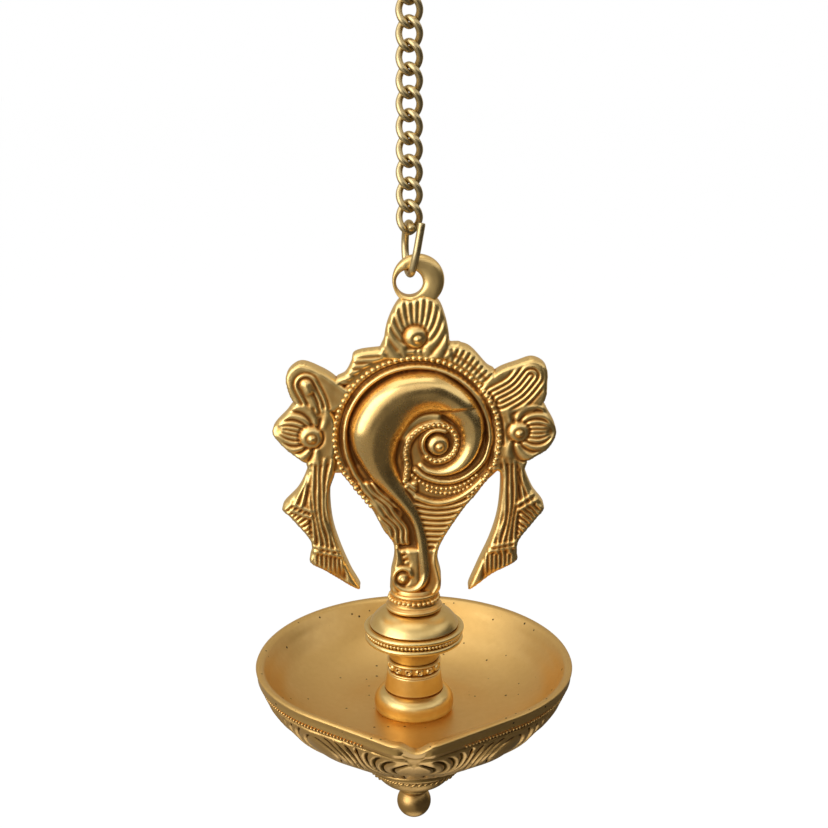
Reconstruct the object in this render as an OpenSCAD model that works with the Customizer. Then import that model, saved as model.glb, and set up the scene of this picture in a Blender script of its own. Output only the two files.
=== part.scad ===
// Hanging brass oil lamp. A wire hook, a twisted chain and an open ring carry a cast plaque with
// a conch relief. A threaded stud ties the plaque through a turned pedestal to a pointed oil bowl,
// its foot collar and a ball nut. The origin is the point where the hook bears on what carries it,
// +Z is up and the front of the lamp faces -Y.

/* [Hook] */
// Diameter of the hook's wire
hook_wire = 3.2; // [2.6:0.1:4]
// Width of the hook's mouth
hook_mouth = 16; // [12:0.5:24]
// Inner diameter of the hook's closed eye
hook_eye = 9; // [8:0.5:12]
// Drop between the mouth and the eye
hook_shank = 12; // [9:1:40]

/* [Chain] */
// Number of links
link_count = 12; // [6:1:24]
// Diameter of a link's wire
link_wire = 2.4; // [2:0.1:2.5]
// Distance from one link to the next
link_pitch = 7.8; // [7.5:0.1:9]
// Outer width of a link
link_width = 9.5; // [9.2:0.1:11]
// Angle that a link turns through between its middle and each end
link_twist = 45; // [40:1:50]

/* [Ring] */
// Diameter of the open ring's wire
ring_wire = 2.7; // [2.2:0.1:3]
// Inner width of the ring
ring_width = 12.5; // [11.5:0.5:14]
// Inner height of the ring
ring_height = 15; // [14:0.5:20]
// Angle between the ring and the lamp's middle plane
ring_turn = 12; // [8:1:20]
// Sideways lean of the ring's open front leg
ring_splay = 10; // [6:1:14]

/* [Plaque] */
// Width of the plaque over the tips of its wings
plaque_w = 102; // [94:1:112]
// Thickness of the plaque's plate
plate_t = 6; // [5:0.5:8]
// Radius of the plate's round disc, for a plaque 102 mm wide
disc_r = 31.5; // [31:0.1:32]
// Radius of the bead circle on the disc, for a plaque 102 mm wide
bead_circle_r = 30; // [29.5:0.1:30.5]
// Radius of the raised ring inside the beads, for a plaque 102 mm wide
raised_ring_r = 26.5; // [26:0.1:27]
// Height of the conch's smooth body above the plate
conch_rise = 7; // [5:0.5:9]
// Height of the ribs and rings above the plate
rib_rise = 1.4; // [0.8:0.1:2]
// Radius of the hole in the hanging eye
eye_hole_r = 4.7; // [4.4:0.1:5]
// Radius of the hanging eye
eye_r = 9.2; // [8.8:0.1:10.2]
// Thickness of the eye at its thin left side
eye_wall = 1.4; // [1.2:0.1:2.2]
// Distance of the eye's hole to the left of the lamp's axis
eye_offset = 1.6; // [0:0.1:2.4]
// Radius of the collar under the plaque's neck
collar_r = 10.5; // [9.5:0.1:12]
// Height of the collar
collar_h = 8; // [7:0.5:10]

/* [Pedestal] */
// Height of the pedestal
pedestal_h = 41; // [38:1:48]
// Radius of the pedestal's domed disc
disc_edge_r = 19.5; // [17:0.5:24]
// Height of the dome over the disc's groove
dome_h = 6.6; // [5:0.2:8]
// Thickness of the disc's rim
disc_rim_h = 6; // [5:0.2:7]
// Radius of the waist under the disc
waist_r = 9.3; // [8:0.1:11]
// Radius of the waist where it meets the base
waist_low_r = 10.8; // [9.5:0.1:12]
// Radius of the base
base_r = 15; // [14:0.5:18]
// Height of the base
base_h = 8.6; // [7:0.2:10]

/* [Bowl] */
// Width of the bowl over the rim
bowl_w = 118; // [106:1:130]
// Distance from the axis to the front lip
lip_reach = 69; // [65:1:78]
// Width of the lip's cut front
lip_w = 14; // [10:1:18]
// Distance from the axis to the back of the rim
back_reach = 65; // [56:1:70]
// Depth of the bowl inside
bowl_depth = 19.4; // [17:0.2:22]
// Height of the bowl from the rim to its foot
bowl_h = 38; // [34:1:44]
// Thickness of the rim
rim_t = 3; // [2.4:0.1:4]
// Height of the plain band under the rim
rim_band_h = 5; // [3.5:0.5:7]
// Thickness of the floor over the hollow under the bowl
floor_t = 4; // [3:0.5:6]

/* [Foot] */
// Radius of the flat foot under the bowl
foot_r = 20.5; // [19.5:0.5:23]
// Radius of the foot collar
foot_collar_r = 18.8; // [17.6:0.2:19.4]
// Height of the foot collar
foot_h = 15.4; // [13:0.2:18]
// Radius of the ball nut
ball_r = 6.5; // [6:0.1:8]
// Height of the ball nut's neck over the ball's centre
ball_neck_h = 5; // [4.2:0.1:5.2]

/* [Stud] */
// Diameter of the stud that ties the lamp together
stud_d = 6; // [5:0.5:7]
// Depth of the threaded hole in the plaque's collar
plaque_thread = 6.5; // [5:0.5:7]
// Depth of the threaded hole in the ball nut
nut_thread = 7; // [5:0.5:7.5]

/* [Fit] */
// Gap at rest where one wire hangs in another
hang_gap = 0.22; // [0.15:0.01:0.3]
// Gap at rest where the ring hangs in the last link and the eye in the ring
ring_gap = 0.36; // [0.3:0.01:0.42]
// Radial clearance of the stud in the bored pieces
bore_clear = 0.3; // [0.2:0.05:0.5]
// Radial clearance of the stud in the threaded holes
thread_clear = 0.05; // [0.02:0.01:0.1]

/* [Hidden] */
$fn = 64;
LINKS = [for (i = [1:link_count]) str("chain_link_", i < 10 ? "0" : "", i)];
brass = "#c79a4a";
pale_brass = "#cdb06a";
dark_brass = "#a9803c";

// Hook and chain, from the bearing point down
hook_turn = 45;
crook_r = (hook_mouth + hook_wire) / 2;
crook_z = -hook_mouth / 2;
hook_loop_r = (hook_eye + hook_wire) / 2;
hook_loop_z = crook_z - hook_shank - hook_eye / 2;
hook_tip_angle = -25;
link_a = (link_width - link_wire) / 2;
link_b = (link_pitch + link_wire + hang_gap) / 2;
first_link_z = hook_loop_z - hook_loop_r + (hook_wire + link_wire) / 2 + hang_gap - link_b;
last_link_z = first_link_z - (link_count - 1) * link_pitch;
wire_sides = 8;

// Open ring, hung in the last link
ring_half_w = (ring_width + ring_wire) / 2;
ring_half_h = (ring_height + ring_wire) / 2;
ring_z = last_link_z - link_b + (link_wire + ring_wire) / 2 + ring_gap - ring_half_h;
ring_low_z = ring_z - ring_half_h;

// Plaque, drawn on a plate 102 mm wide about the centre of its disc
plaque_k = plaque_w / 102;
eye_up = 57 * plaque_k;
neck_down = 58 * plaque_k;
disc_z = ring_low_z + ring_wire / 2 + ring_gap - eye_hole_r - eye_up;
plate_disc_r = disc_r * plaque_k;
border_r = bead_circle_r * plaque_k;
inner_ring_r = raised_ring_r * plaque_k;
sink = 0.6;
disc_cut = -13;

// Pedestal, bowl and foot, stacked under the plaque's collar
collar_low_z = disc_z - neck_down - collar_h;
floor_z = collar_low_z - pedestal_h;
rim_z = floor_z + bowl_depth;
foot_z = rim_z - bowl_h;
collar_foot_z = foot_z - foot_h;
ball_z = collar_foot_z - ball_neck_h;
stud_r = stud_d / 2;
ball_neck_r = stud_r + 1.3;
bore_r = stud_r + bore_clear;
thread_r = stud_r + thread_clear;
stud_top_z = collar_low_z + plaque_thread - 0.3;
stud_low_z = collar_foot_z - nut_thread + 0.3;

function unit(v) = v / norm(v);
function mix(a, b, t) = a + (b - a) * t;
function polar(r, angle) = [r * cos(angle), r * sin(angle)];

// Smooth closed outline through a few points
function smooth(p, steps = 4) = let (n = len(p)) [
    for (i = [0:n - 1], k = [0:steps - 1])
        let (t = k / steps, a = p[(i + n - 1) % n], b = p[i], c = p[(i + 1) % n], d = p[(i + 2) % n])
        (2 * b + (c - a) * t + (2 * a - 5 * b + 4 * c - d) * t * t + (3 * b - a - 3 * c + d) * t * t * t) / 2
];

// Triangles of a skin over rings of equal length, joined end to start or closed by two caps
function skin_faces(rings, sides, closed) = concat(
    [for (i = [0:rings - (closed ? 1 : 2)], k = [0:sides - 1], half = [0, 1])
        let (j = (i + 1) % rings, m = (k + 1) % sides)
        half == 0 ? [i * sides + k, j * sides + k, j * sides + m]
                  : [i * sides + k, j * sides + m, i * sides + m]],
    closed ? [] : [for (k = [1:sides - 2]) [0, k, k + 1]],
    closed ? [] : [for (k = [1:sides - 2]) let (e = (rings - 1) * sides) [e, e + k + 1, e + k]]
);
module skin(rings, closed = false) {
    sides = len(rings[0]);
    polyhedron([for (r = rings) each r], skin_faces(len(rings), sides, closed), convexity = 8);
}

// Round section of a wire: its first spoke points outward
function wire_ring(centre, tangent, outward, r) =
    let (t = unit(tangent), n = unit(outward - (outward * t) * t), b = cross(t, n))
    [for (k = [0:wire_sides - 1]) let (a = 360 * k / wire_sides) centre + r * (cos(a) * n + sin(a) * b)];

// Centre line of a link, an oval that turns about the chain's axis
link_stations = 24;
function link_point(t) = let (turn = -link_twist * sin(t))
    [link_a * cos(t) * cos(turn), link_a * cos(t) * sin(turn), link_b * sin(t)];
function link_rings() = [
    for (i = [0:link_stations - 1])
        let (t = 360 * i / link_stations, c = link_point(t))
        wire_ring(c, link_point(t + 1) - link_point(t - 1), c, link_wire / 2)
];
module chain_link(i) {
    color(pale_brass)
    translate([0, 0, first_link_z - (i - 1) * link_pitch])
    skin(link_rings(), closed = true);
}

// Hook: an open crook above, a sloping shank and a closed eye below, all in one plane
function hook_line() = concat(
    [for (i = [0:10]) let (a = mix(hook_tip_angle, 180, i / 10)) polar(crook_r, a) + [0, crook_z]],
    [for (i = [1:4]) let (t = i / 5, s = t * t * (3 - 2 * t))
        [mix(-crook_r, hook_loop_r, s), mix(crook_z, hook_loop_z, t)]],
    [for (i = [0:12]) polar(hook_loop_r, -i * 20) + [0, hook_loop_z]]
);
module top_hook() {
    line = hook_line();
    last = len(line) - 1;
    color(pale_brass)
    rotate([0, 0, hook_turn])
    skin([
        for (i = [0:last])
            let (c = line[i], t = line[min(i + 1, last)] - line[max(i - 1, 0)])
            wire_ring([c[0], 0, c[1]], [t[0], 0, t[1]], [0, 1, 0], hook_wire / 2)
    ]);
}

// Open ring: from its rounded end over the last link, down the back, through the eye and up the front
ring_nub = 34;
leg_start = -225;
leg_up = 1.84;
leg_out = 0.24;
function ring_oval(t) = [0, -ring_half_w * sin(t), ring_half_h * cos(t)];
function ring_line() = concat(
    [for (i = [0:20]) ring_oval(mix(ring_nub, leg_start, i / 20))],
    [for (i = [1:5]) let (s = i / 5, up = s * ring_half_h * leg_up)
        ring_oval(leg_start) + [up * tan(ring_splay), -ring_half_w * leg_out * sin(90 * min(1, 2 * s)), up]]
);
module hanger_ring() {
    line = ring_line();
    last = len(line) - 1;
    color(pale_brass)
    translate([0, 0, ring_z])
    rotate([0, 0, ring_turn])
    skin([
        for (i = [0:last])
            let (c = line[i], t = line[min(i + 1, last)] - line[max(i - 1, 0)])
            wire_ring(c, t, [1, 0, 0], ring_wire / 2 * (i == 0 ? 0.6 : 1))
    ]);
}

// Relief on the plaque: x and y run over its face, z stands out to the front
module on_plaque() {
    translate([eye_offset, -plate_t / 2, disc_z]) rotate([90, 0, 0]) children();
}
module plate(points) {
    translate([0, 0, -plate_t]) linear_extrude(plate_t) polygon(plaque_k * points);
}

// Domed strip over stations of [left edge, right edge, rise], seen along its length
strip_sides = 6;
function strip_ring(s) = let (l = plaque_k * s[0], r = plaque_k * s[1]) concat(
    [[l[0], l[1], -sink]],
    [for (j = [0:strip_sides]) let (a = 180 * j / strip_sides, p = mix(l, r, (1 - cos(a)) / 2))
        [p[0], p[1], s[2] * sin(a)]],
    [[r[0], r[1], -sink]]
);
module strip(stations) {
    skin([for (s = stations) strip_ring(s)]);
}
// Straight rib between two points, with its own width at each end
module rib(from, to, w_from, w_to, rise) {
    side = unit([from[1] - to[1], to[0] - from[0]]) / 2;
    strip([[from + w_from * side, from - w_from * side, rise], [to + w_to * side, to - w_to * side, rise]]);
}

// Outlines of the plaque's parts, left and right as the casting has them
crest_line = [[12, 30], [12.6, 36], [11.2, 44], [8, 51], [1, 53], [-5, 51], [-9, 44], [-10.6, 37], [-10.8, 30]];
shoulder_line = [[-24, 20], [-27.8, 22], [-24.6, 24], [-22.4, 28], [-20.8, 31.6], [-11, 33.2], [12.6, 35],
    [17, 34.6], [20.6, 32.8], [25.8, 27], [28.6, 24.6], [24, 20]];
funnel_line = [[-29, -6], [-27, -12], [-21, -19.8], [-15.2, -27], [-11.2, -34.8], [-7.6, -40], [-7.4, -46],
    [-8.6, -53], [-8, -59.6], [9.2, -59.6], [10.2, -54], [8.6, -46], [10, -39.6], [17.6, -27.2], [24.8, -17.8], [29, -6]];
left_bud_line = [[-23, 16], [-28, 22], [-33.4, 25.6], [-40.2, 28], [-44.8, 25], [-45.6, 20.6], [-42.6, 13], [-34, 8]];
right_bud_line = [[23, 16], [28.6, 24.4], [37.2, 28.2], [42.4, 29.6], [46.8, 27], [47.6, 21.6], [45.8, 13], [34, 8]];
left_lobe_line = [[-29, 10], [-41, 13.6], [-46, 9.4], [-51, 3], [-47.6, -2.6], [-42.8, -6.8], [-38, -9.4], [-29, -8]];
right_lobe_line = [[29, 10], [44, 13.6], [48.4, 9.4], [51.2, 2.6], [48.6, -3.4], [44, -6.6], [40, -8.4], [29, -8]];
left_tassel_line = [[-29, -6], [-38.2, -8], [-38.8, -12.2], [-42.2, -19.4], [-48, -26.2], [-45, -30.2],
    [-38.6, -38], [-37.4, -42], [-38.2, -47.4], [-32.4, -51], [-20.2, -58.2], [-23.6, -50.4], [-27.4, -40.8],
    [-30, -31.2], [-30.6, -20], [-28.6, -12.8]];
right_tassel_line = [[29, -6], [40.2, -8], [40.2, -12], [43.2, -19.4], [47.4, -25.8], [44.2, -31],
    [38.4, -38.8], [37.8, -43.4], [37.4, -47], [29, -51.8], [20.2, -58.2], [23, -49.6], [28, -37.8],
    [30.8, -26.6], [31.2, -13], [28, -12.4]];

// Conch: stations of [inner edge, outer edge, share of the full rise], from its mouth to its tail
conch_stations = [
    [[19.8, 9.4], [25, 14.4], 0.35], [[14.4, 9.4], [19.4, 19.4], 0.75], [[7.6, 8], [8.6, 22.6], 0.95],
    [[1.4, 6.4], [-3.4, 22.6], 1], [[-3.2, 3.4], [-14, 17.4], 1], [[-6.4, 0], [-20.6, 8], 1],
    [[-7.2, -5], [-22, -1.6], 1], [[-5.8, -11], [-18.8, -9.4], 0.95], [[-3.3, -17], [-13.4, -17.4], 0.85],
    [[0.6, -22.4], [-7.6, -23.8], 0.75], [[3.2, -30], [-1.4, -30.4], 0.6], [[4.8, -37], [0.6, -37], 0.6],
    [[6, -44], [-1, -44.4], 0.65], [[6.6, -52], [0.4, -52.4], 0.7], [[4.6, -57.6], [-2, -57.6], 0.6]
];
module conch_body() {
    strip([for (s = conch_stations) [s[0], s[1], s[2] * conch_rise]]);
}

// Spiral inside the conch: a coil that widens from its boss, and the smooth whorl round its right
spiral_at = [8.6, -3.1];
spiral_boss_r = 3.6;
function coil_r(angle) = 6.4 + 0.038 * (angle + 60);
function whorl_r(angle) = 12.2 + 0.033 * (angle + 88);
module coil() {
    strip([for (i = [0:20]) let (a = mix(-60, 215, i / 20))
        [spiral_at + polar(coil_r(a) - 1.1, a), spiral_at + polar(coil_r(a) + 1.1, a), rib_rise]]);
}
module whorl() {
    strip([for (i = [0:9]) let (a = mix(-88, 42, i / 9), w = mix(1.2, 2.4, i / 9))
        [spiral_at + polar(whorl_r(a) - w, a), spiral_at + polar(whorl_r(a) + w, a), conch_rise * 0.4]]);
}
// Round boss with a flat face and a small raised eye
module boss(at, r, rise) {
    translate(plaque_k * at) {
        translate([0, 0, -sink]) cylinder(h = rise + sink, r1 = r * plaque_k, r2 = 0.8 * r * plaque_k);
        translate([0, 0, -sink]) cylinder(h = rise + 0.8 + sink, r = 0.4 * r * plaque_k);
    }
}
// Raised ring round the disc, left open where the funnel starts
ring_open = 22;
module disc_ring(r, wire_r) {
    rotate([0, 0, -ring_open]) rotate_extrude(angle = 180 + 2 * ring_open) translate([r, 0]) circle(r = wire_r);
}
// Border down the funnel's edges, and ribs across it, shorter from one to the next
funnel_ribs = 6;
module funnel_relief() {
    rib([-26.4, -10.4], [-15, -25.4], 2.2, 2.2, rib_rise);
    rib([26.4, -10.4], [20.4, -22], 2.2, 2.2, rib_rise);
    for (i = [0:funnel_ribs - 1]) {
        down = -24.5 - 3 * i;
        rib([mix(2.6, 6.4, i / funnel_ribs), down], [mix(17.4, 8, i / funnel_ribs), down + 1.6], 2, 2, rib_rise);
    }
}
crest_ribs = 7;
crest_boss_at = [0.5, 36.2];
module crest_relief() {
    for (i = [0:crest_ribs - 1]) {
        a = mix(146, 34, i / (crest_ribs - 1));
        rib(crest_boss_at + polar(4, a), crest_boss_at + polar(9.2 + 4 * sin(a), a), 1.6, 2.4, rib_rise);
    }
    boss(crest_boss_at, 3.75, 2.4);
}
lobe_boss_at = [37.2, 0.8];
module wing_relief() {
    for (a = [28, 52, 76]) {
        rib([33, 14] + polar(1, a), [33, 14] + polar(12.5, a), 1.6, 3, rib_rise);
    }
    boss(lobe_boss_at, 4, 2.2);
    for (i = [0:4]) {
        rib([mix(31.4, 38.4, i / 4), -14], [mix(32, 42.8, i / 4), -25.4], 1, 1.7, rib_rise);
        rib([mix(29.4, 38.6, i / 4), -34], [mix(24, 34.6, i / 4), mix(-49, -46.6, i / 4)], 1.2, 1.6, rib_rise);
    }
    rib([31, -29.4], [42, -27.6], 1.6, 1.6, rib_rise);
}
module plaque_plate() {
    translate([0, 0, -plate_t]) linear_extrude(plate_t) intersection() {
        circle(r = plate_disc_r);
        translate(plaque_k * [-40, disc_cut]) square(plaque_k * 80);
    }
    plate(smooth(crest_line));
    plate(smooth(shoulder_line));
    plate(smooth(funnel_line));
    for (line = [left_bud_line, right_bud_line, left_lobe_line, right_lobe_line, left_tassel_line, right_tassel_line])
        plate(smooth(line));
}
// Eye: a thick disc with a rounded edge, off to the right of its rounded hole
eye_edge = 1.6;
eye_lift = 0.8;
module hanging_eye() {
    translate([eye_r - eye_hole_r - eye_wall - eye_offset, eye_up + eye_lift, -plate_t / 2])
    rotate_extrude() {
        for (face = [-1, 1])
            translate([eye_r - eye_edge, face * (plate_t / 2 - eye_edge)]) circle(r = eye_edge);
        translate([0, -plate_t / 2]) square([eye_r - eye_edge, plate_t]);
        translate([0, eye_edge - plate_t / 2]) square([eye_r, plate_t - 2 * eye_edge]);
    }
}
module eye_hole() {
    round_r = plate_t / 2;
    past = plate_t / 2 + 1;
    translate([-eye_offset, eye_up, -plate_t / 2])
    rotate_extrude()
    difference() {
        translate([0, -past]) square([eye_hole_r + round_r, 2 * past]);
        translate([eye_hole_r + round_r, 0]) circle(r = round_r);
    }
}
module plaque_collar() {
    translate([eye_offset, 0, collar_low_z])
    rotate_extrude() {
        square([collar_r - 1.4, collar_h]);
        translate([collar_r - 2, 2]) circle(r = 2);
        translate([collar_r - 3, collar_h - 1.5]) circle(r = 1.5);
    }
}
module conch_plaque() {
    color(brass)
    difference() {
        union() {
            on_plaque() {
                plaque_plate();
                hanging_eye();
                disc_ring(border_r, 1.1);
                disc_ring(inner_ring_r, 0.7);
                conch_body();
                whorl();
                coil();
                boss(spiral_at, spiral_boss_r, 2.2);
                funnel_relief();
                crest_relief();
                for (side = [0, 1]) mirror([side, 0, 0]) wing_relief();
            }
            plaque_collar();
        }
        on_plaque() eye_hole();
        translate([eye_offset, 0, collar_low_z - 1]) cylinder(h = plaque_thread + 1, r = thread_r);
    }
}

// Turned pedestal: a domed disc with a moulded rim, a waist and a rounded base
module pedestal() {
    groove_z = pedestal_h - dome_h;
    under_z = groove_z - disc_rim_h;
    edge = disc_edge_r - 1.6;
    color(brass)
    translate([eye_offset, 0, floor_z])
    difference() {
        rotate_extrude() {
            polygon([[0, 0], [base_r - 1.5, 0], [waist_low_r + 1, base_h], [waist_low_r, base_h + 0.5],
                [waist_r, under_z - 5], [waist_r, under_z - 4], [edge - 1, under_z], [edge, under_z + 1],
                [edge, groove_z - 0.6], [edge - 1.2, groove_z - 0.6], [edge - 0.8, groove_z + 0.4],
                [mix(edge, collar_r, 0.5), groove_z + dome_h * 0.56], [collar_r - 0.6, pedestal_h], [0, pedestal_h]]);
            translate([edge, groove_z - 1.6]) circle(r = 1.6);
            translate([edge - 0.4, under_z + 1.1]) circle(r = 1.1);
            translate([base_r - base_h * 0.42, base_h * 0.42]) circle(r = base_h * 0.42);
            translate([waist_r, under_z - 6]) circle(r = 0.8);
            translate([waist_r + 0.2, under_z - 10]) circle(r = 0.8);
        }
        translate([0, 0, -1]) cylinder(h = pedestal_h + 2, r = bore_r);
    }
}

// Bowl plan: a round back, and straight sides from the widest part to the cut lip
bowl_r = bowl_w / 2;
lip_half = lip_w / 2;
lip_angle = atan2(lip_half, lip_reach);
tangent_angle = lip_angle + acos(bowl_r / norm([lip_half, lip_reach]));
side_steps = 5;
back_steps = 28;
function plan_point(a) = let (back = cos(a) < 0)
    [bowl_r * sin(a), -cos(a) * (back ? back_reach : bowl_r)];
lip_point = [lip_half, -lip_reach];
function right_side() = [for (i = [0:side_steps - 1])
    mix(lip_point, plan_point(tangent_angle), i / side_steps)];
bowl_plan = concat(
    [[0, -lip_reach]],
    right_side(),
    [for (i = [0:back_steps]) plan_point(mix(tangent_angle, 360 - tangent_angle, i / back_steps))],
    [for (i = [side_steps - 1:-1:0]) [-right_side()[i][0], right_side()[i][1]]]
);
// Ring of the bowl: the rim's plan dies out into a circle on the way down to the foot
lip_fade = 0.55;
function bowl_ring(r, z, inset = 0) =
    let (share = (r - foot_r) / (bowl_r - foot_r), point = max(0, (share - lip_fade) / (1 - lip_fade)))
    [for (p = bowl_plan)
        let (d = unit(p), out = r + (norm(p) - bowl_r) * point - inset) [d[0] * out, d[1] * out, z]];

// Profiles from the rim: outside as [share of the spread, share of the height], inside down to the floor
outer_steps = [[0.97, 0.1], [0.91, 0.24], [0.78, 0.41], [0.61, 0.58], [0.36, 0.77], [0.12, 0.94], [0, 1]];
inner_steps = [[0.92, 0.3], [0.8, 0.6], [0.6, 0.84], [0.36, 0.97]];
rim_round = 0.8;
module bowl_shell() {
    spread = bowl_r - foot_r;
    body_h = bowl_h - rim_band_h;
    seat_r = base_r + 1;
    skin(concat(
        [for (i = [len(outer_steps) - 1:-1:0]) let (s = outer_steps[i])
            bowl_ring(foot_r + s[0] * (spread - 1.8), -rim_band_h - s[1] * body_h)],
        [bowl_ring(bowl_r - 1.8, -rim_band_h), bowl_ring(bowl_r - 0.8, -rim_band_h + 0.2)],
        [bowl_ring(bowl_r, -rim_round), bowl_ring(bowl_r, 0, rim_round), bowl_ring(bowl_r, 0, rim_t)],
        [for (s = inner_steps) bowl_ring(mix(seat_r, bowl_r - rim_t, s[0]), -bowl_depth * s[1])],
        [[for (p = bowl_plan) [unit(p)[0] * seat_r, unit(p)[1] * seat_r, -bowl_depth]]]
    ));
}
// Hollow under the floor, open to the foot
hollow_mouth_r = 15.6;
module bowl_hollow() {
    top = -bowl_depth - floor_t;
    rotate_extrude()
    polygon([[0, top], [mix(foot_r, bowl_r, 0.4), top], [mix(foot_r, bowl_r, 0.33), top - 2],
        [hollow_mouth_r, -bowl_h + 3], [hollow_mouth_r, -bowl_h - 1], [0, -bowl_h - 1]]);
}
module bowl() {
    color(brass)
    translate([eye_offset, 0, rim_z])
    difference() {
        bowl_shell();
        bowl_hollow();
        translate([0, 0, -bowl_depth - floor_t - 1]) cylinder(h = floor_t + 2, r = bore_r);
    }
}

// Foot collar: a rounded ring, a rope ring and a cone down to the ball
foot_ring_h = 3;
rope_ring_r = 1.2;
module foot_collar() {
    ring_z = foot_h - foot_ring_h;
    cone_r = foot_collar_r - 1.6;
    color(dark_brass)
    translate([eye_offset, 0, collar_foot_z])
    difference() {
        rotate_extrude() {
            polygon([[0, 0], [ball_neck_r + 1.6, 0], [ball_neck_r + 2, 1], [mix(ball_neck_r, cone_r, 0.66), ring_z * 0.5],
                [cone_r, ring_z - 2 * rope_ring_r], [cone_r, foot_h], [0, foot_h]]);
            translate([foot_collar_r - foot_ring_h / 2, foot_h - foot_ring_h / 2]) circle(d = foot_ring_h);
            translate([cone_r, ring_z - rope_ring_r]) circle(r = rope_ring_r);
        }
        translate([0, 0, -1]) cylinder(h = foot_h + 2, r = bore_r);
    }
}

// Ball nut with its neck and threaded hole
module ball_finial() {
    color(dark_brass)
    translate([eye_offset, 0, ball_z])
    difference() {
        rotate_extrude() intersection() {
            union() {
                circle(r = ball_r);
                square([ball_neck_r, ball_neck_h]);
            }
            translate([0, -ball_r]) square([ball_r, ball_r + ball_neck_h]);
        }
        translate([0, 0, ball_neck_h - nut_thread]) cylinder(h = nut_thread + 1, r = thread_r);
    }
}

// Stud from the plaque's collar down into the ball nut
module tie_stud() {
    color("#b08d57")
    translate([eye_offset, 0, stud_low_z])
    cylinder(h = stud_top_z - stud_low_z, r = stud_r);
}

top_hook();
for (i = [1:link_count]) chain_link(i);
hanger_ring();
conch_plaque();
pedestal();
bowl();
foot_collar();
ball_finial();
tie_stud();
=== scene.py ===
"""Dressed model of a hanging brass oil lamp: wirework, cast conch plaque, turned pedestal and carved bowl.

Sizes are in millimetres in the lamp's own frame, with +Z up and the front towards -Y. They become metres
where a mesh is made. Angles in fields and tables are in degrees.
"""
import logging
import math
from dataclasses import dataclass
from enum import Enum
from typing import Callable, Optional, Sequence

import bmesh
import bpy
import numpy as np
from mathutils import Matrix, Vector


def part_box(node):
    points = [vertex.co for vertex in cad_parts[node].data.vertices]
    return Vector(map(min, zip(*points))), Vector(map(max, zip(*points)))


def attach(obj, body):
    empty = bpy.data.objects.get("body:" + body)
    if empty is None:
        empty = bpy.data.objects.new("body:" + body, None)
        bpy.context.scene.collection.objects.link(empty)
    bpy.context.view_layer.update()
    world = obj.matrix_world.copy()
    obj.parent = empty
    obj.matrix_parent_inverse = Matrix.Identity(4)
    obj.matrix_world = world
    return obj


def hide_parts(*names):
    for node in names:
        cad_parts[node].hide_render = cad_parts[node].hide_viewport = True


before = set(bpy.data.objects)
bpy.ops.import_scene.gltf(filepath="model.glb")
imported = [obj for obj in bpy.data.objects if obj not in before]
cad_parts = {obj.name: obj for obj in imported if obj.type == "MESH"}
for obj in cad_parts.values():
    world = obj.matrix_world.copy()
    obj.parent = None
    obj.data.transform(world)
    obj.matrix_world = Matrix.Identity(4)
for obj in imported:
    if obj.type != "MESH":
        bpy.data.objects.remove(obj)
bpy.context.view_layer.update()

LOG = logging.getLogger("oil_lamp")
MM = 0.001
TINY = 1e-9
TURN = 2 * np.pi
LAMP = "lamp"
Array = np.ndarray
Value = Array | float
Point = tuple[float, float]
Place = tuple[float, float, float]
Colour = tuple[float, float, float]
Line = tuple[Point, ...]


# Curves and fields

def smooth_path(points: Sequence[Point], steps: int = 8, closed: bool = False) -> Array:
    """Smooth curve through a few points.

    Args:
        points: Points that the curve passes through.
        steps: Steps from one point to the next.
        closed: True if the curve returns to its start.

    Returns:
        Points along the curve, one row each.
    """
    knots = np.asarray(points, float)
    count = len(knots)
    share = (np.arange(steps) / steps)[:, None]
    stretches = []
    for i in range(count if closed else count - 1):
        around = [k % count if closed else min(max(k, 0), count - 1) for k in range(i - 1, i + 3)]
        a, b, c, d = knots[around]
        stretches.append((2 * b + (c - a) * share + (2 * a - 5 * b + 4 * c - d) * share ** 2
                          + (3 * b - a - 3 * c + d) * share ** 3) / 2)
    if not closed:
        stretches.append(knots[-1:])
    return np.concatenate(stretches)


def outline_of(points: Sequence[Point]) -> Array:
    """Closed smooth outline through a few points."""
    return smooth_path(points, 6, True)


def arc(centre: Point, radius: float, start: float, end: float, steps: int) -> Array:
    """Points on an arc, with its angles in degrees."""
    angle = np.radians(np.linspace(start, end, steps + 1))
    return np.stack([centre[0] + radius * np.cos(angle), centre[1] + radius * np.sin(angle)], 1)


def circle(centre: Point, radius: float, steps: int) -> Array:
    """Points on a whole circle, without a repeat at its end."""
    return arc(centre, radius, 0, 360, steps)[:-1]


def round_angles(count: int) -> Array:
    """Angles in radians, evenly round a full turn."""
    return np.linspace(0, TURN, count, endpoint=False)


def from_front(angle: Array) -> Array:
    """Angle in radians away from the front, to either side."""
    return np.abs((angle + np.pi) % TURN - np.pi)


def path_field(at: Array, path: Array) -> tuple[Array, Array]:
    """Distance from points to a polyline.

    Args:
        at: Points, one row each.
        path: Points of the polyline.

    Returns:
        The distance of each point, and how far along the polyline its nearest place lies.
    """
    best = np.full(len(at), np.inf)
    along = np.zeros(len(at))
    run = 0.0
    for start, end in zip(path[:-1], path[1:]):
        way = end - start
        length = float(np.hypot(*way))
        if length < TINY:
            continue
        share = np.clip(((at - start) @ way) / length ** 2, 0, 1)
        away = np.hypot(at[:, 0] - start[0] - share * way[0], at[:, 1] - start[1] - share * way[1])
        nearer = away < best
        best = np.where(nearer, away, best)
        along = np.where(nearer, run + share * length, along)
        run += length
    return best, along


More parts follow.
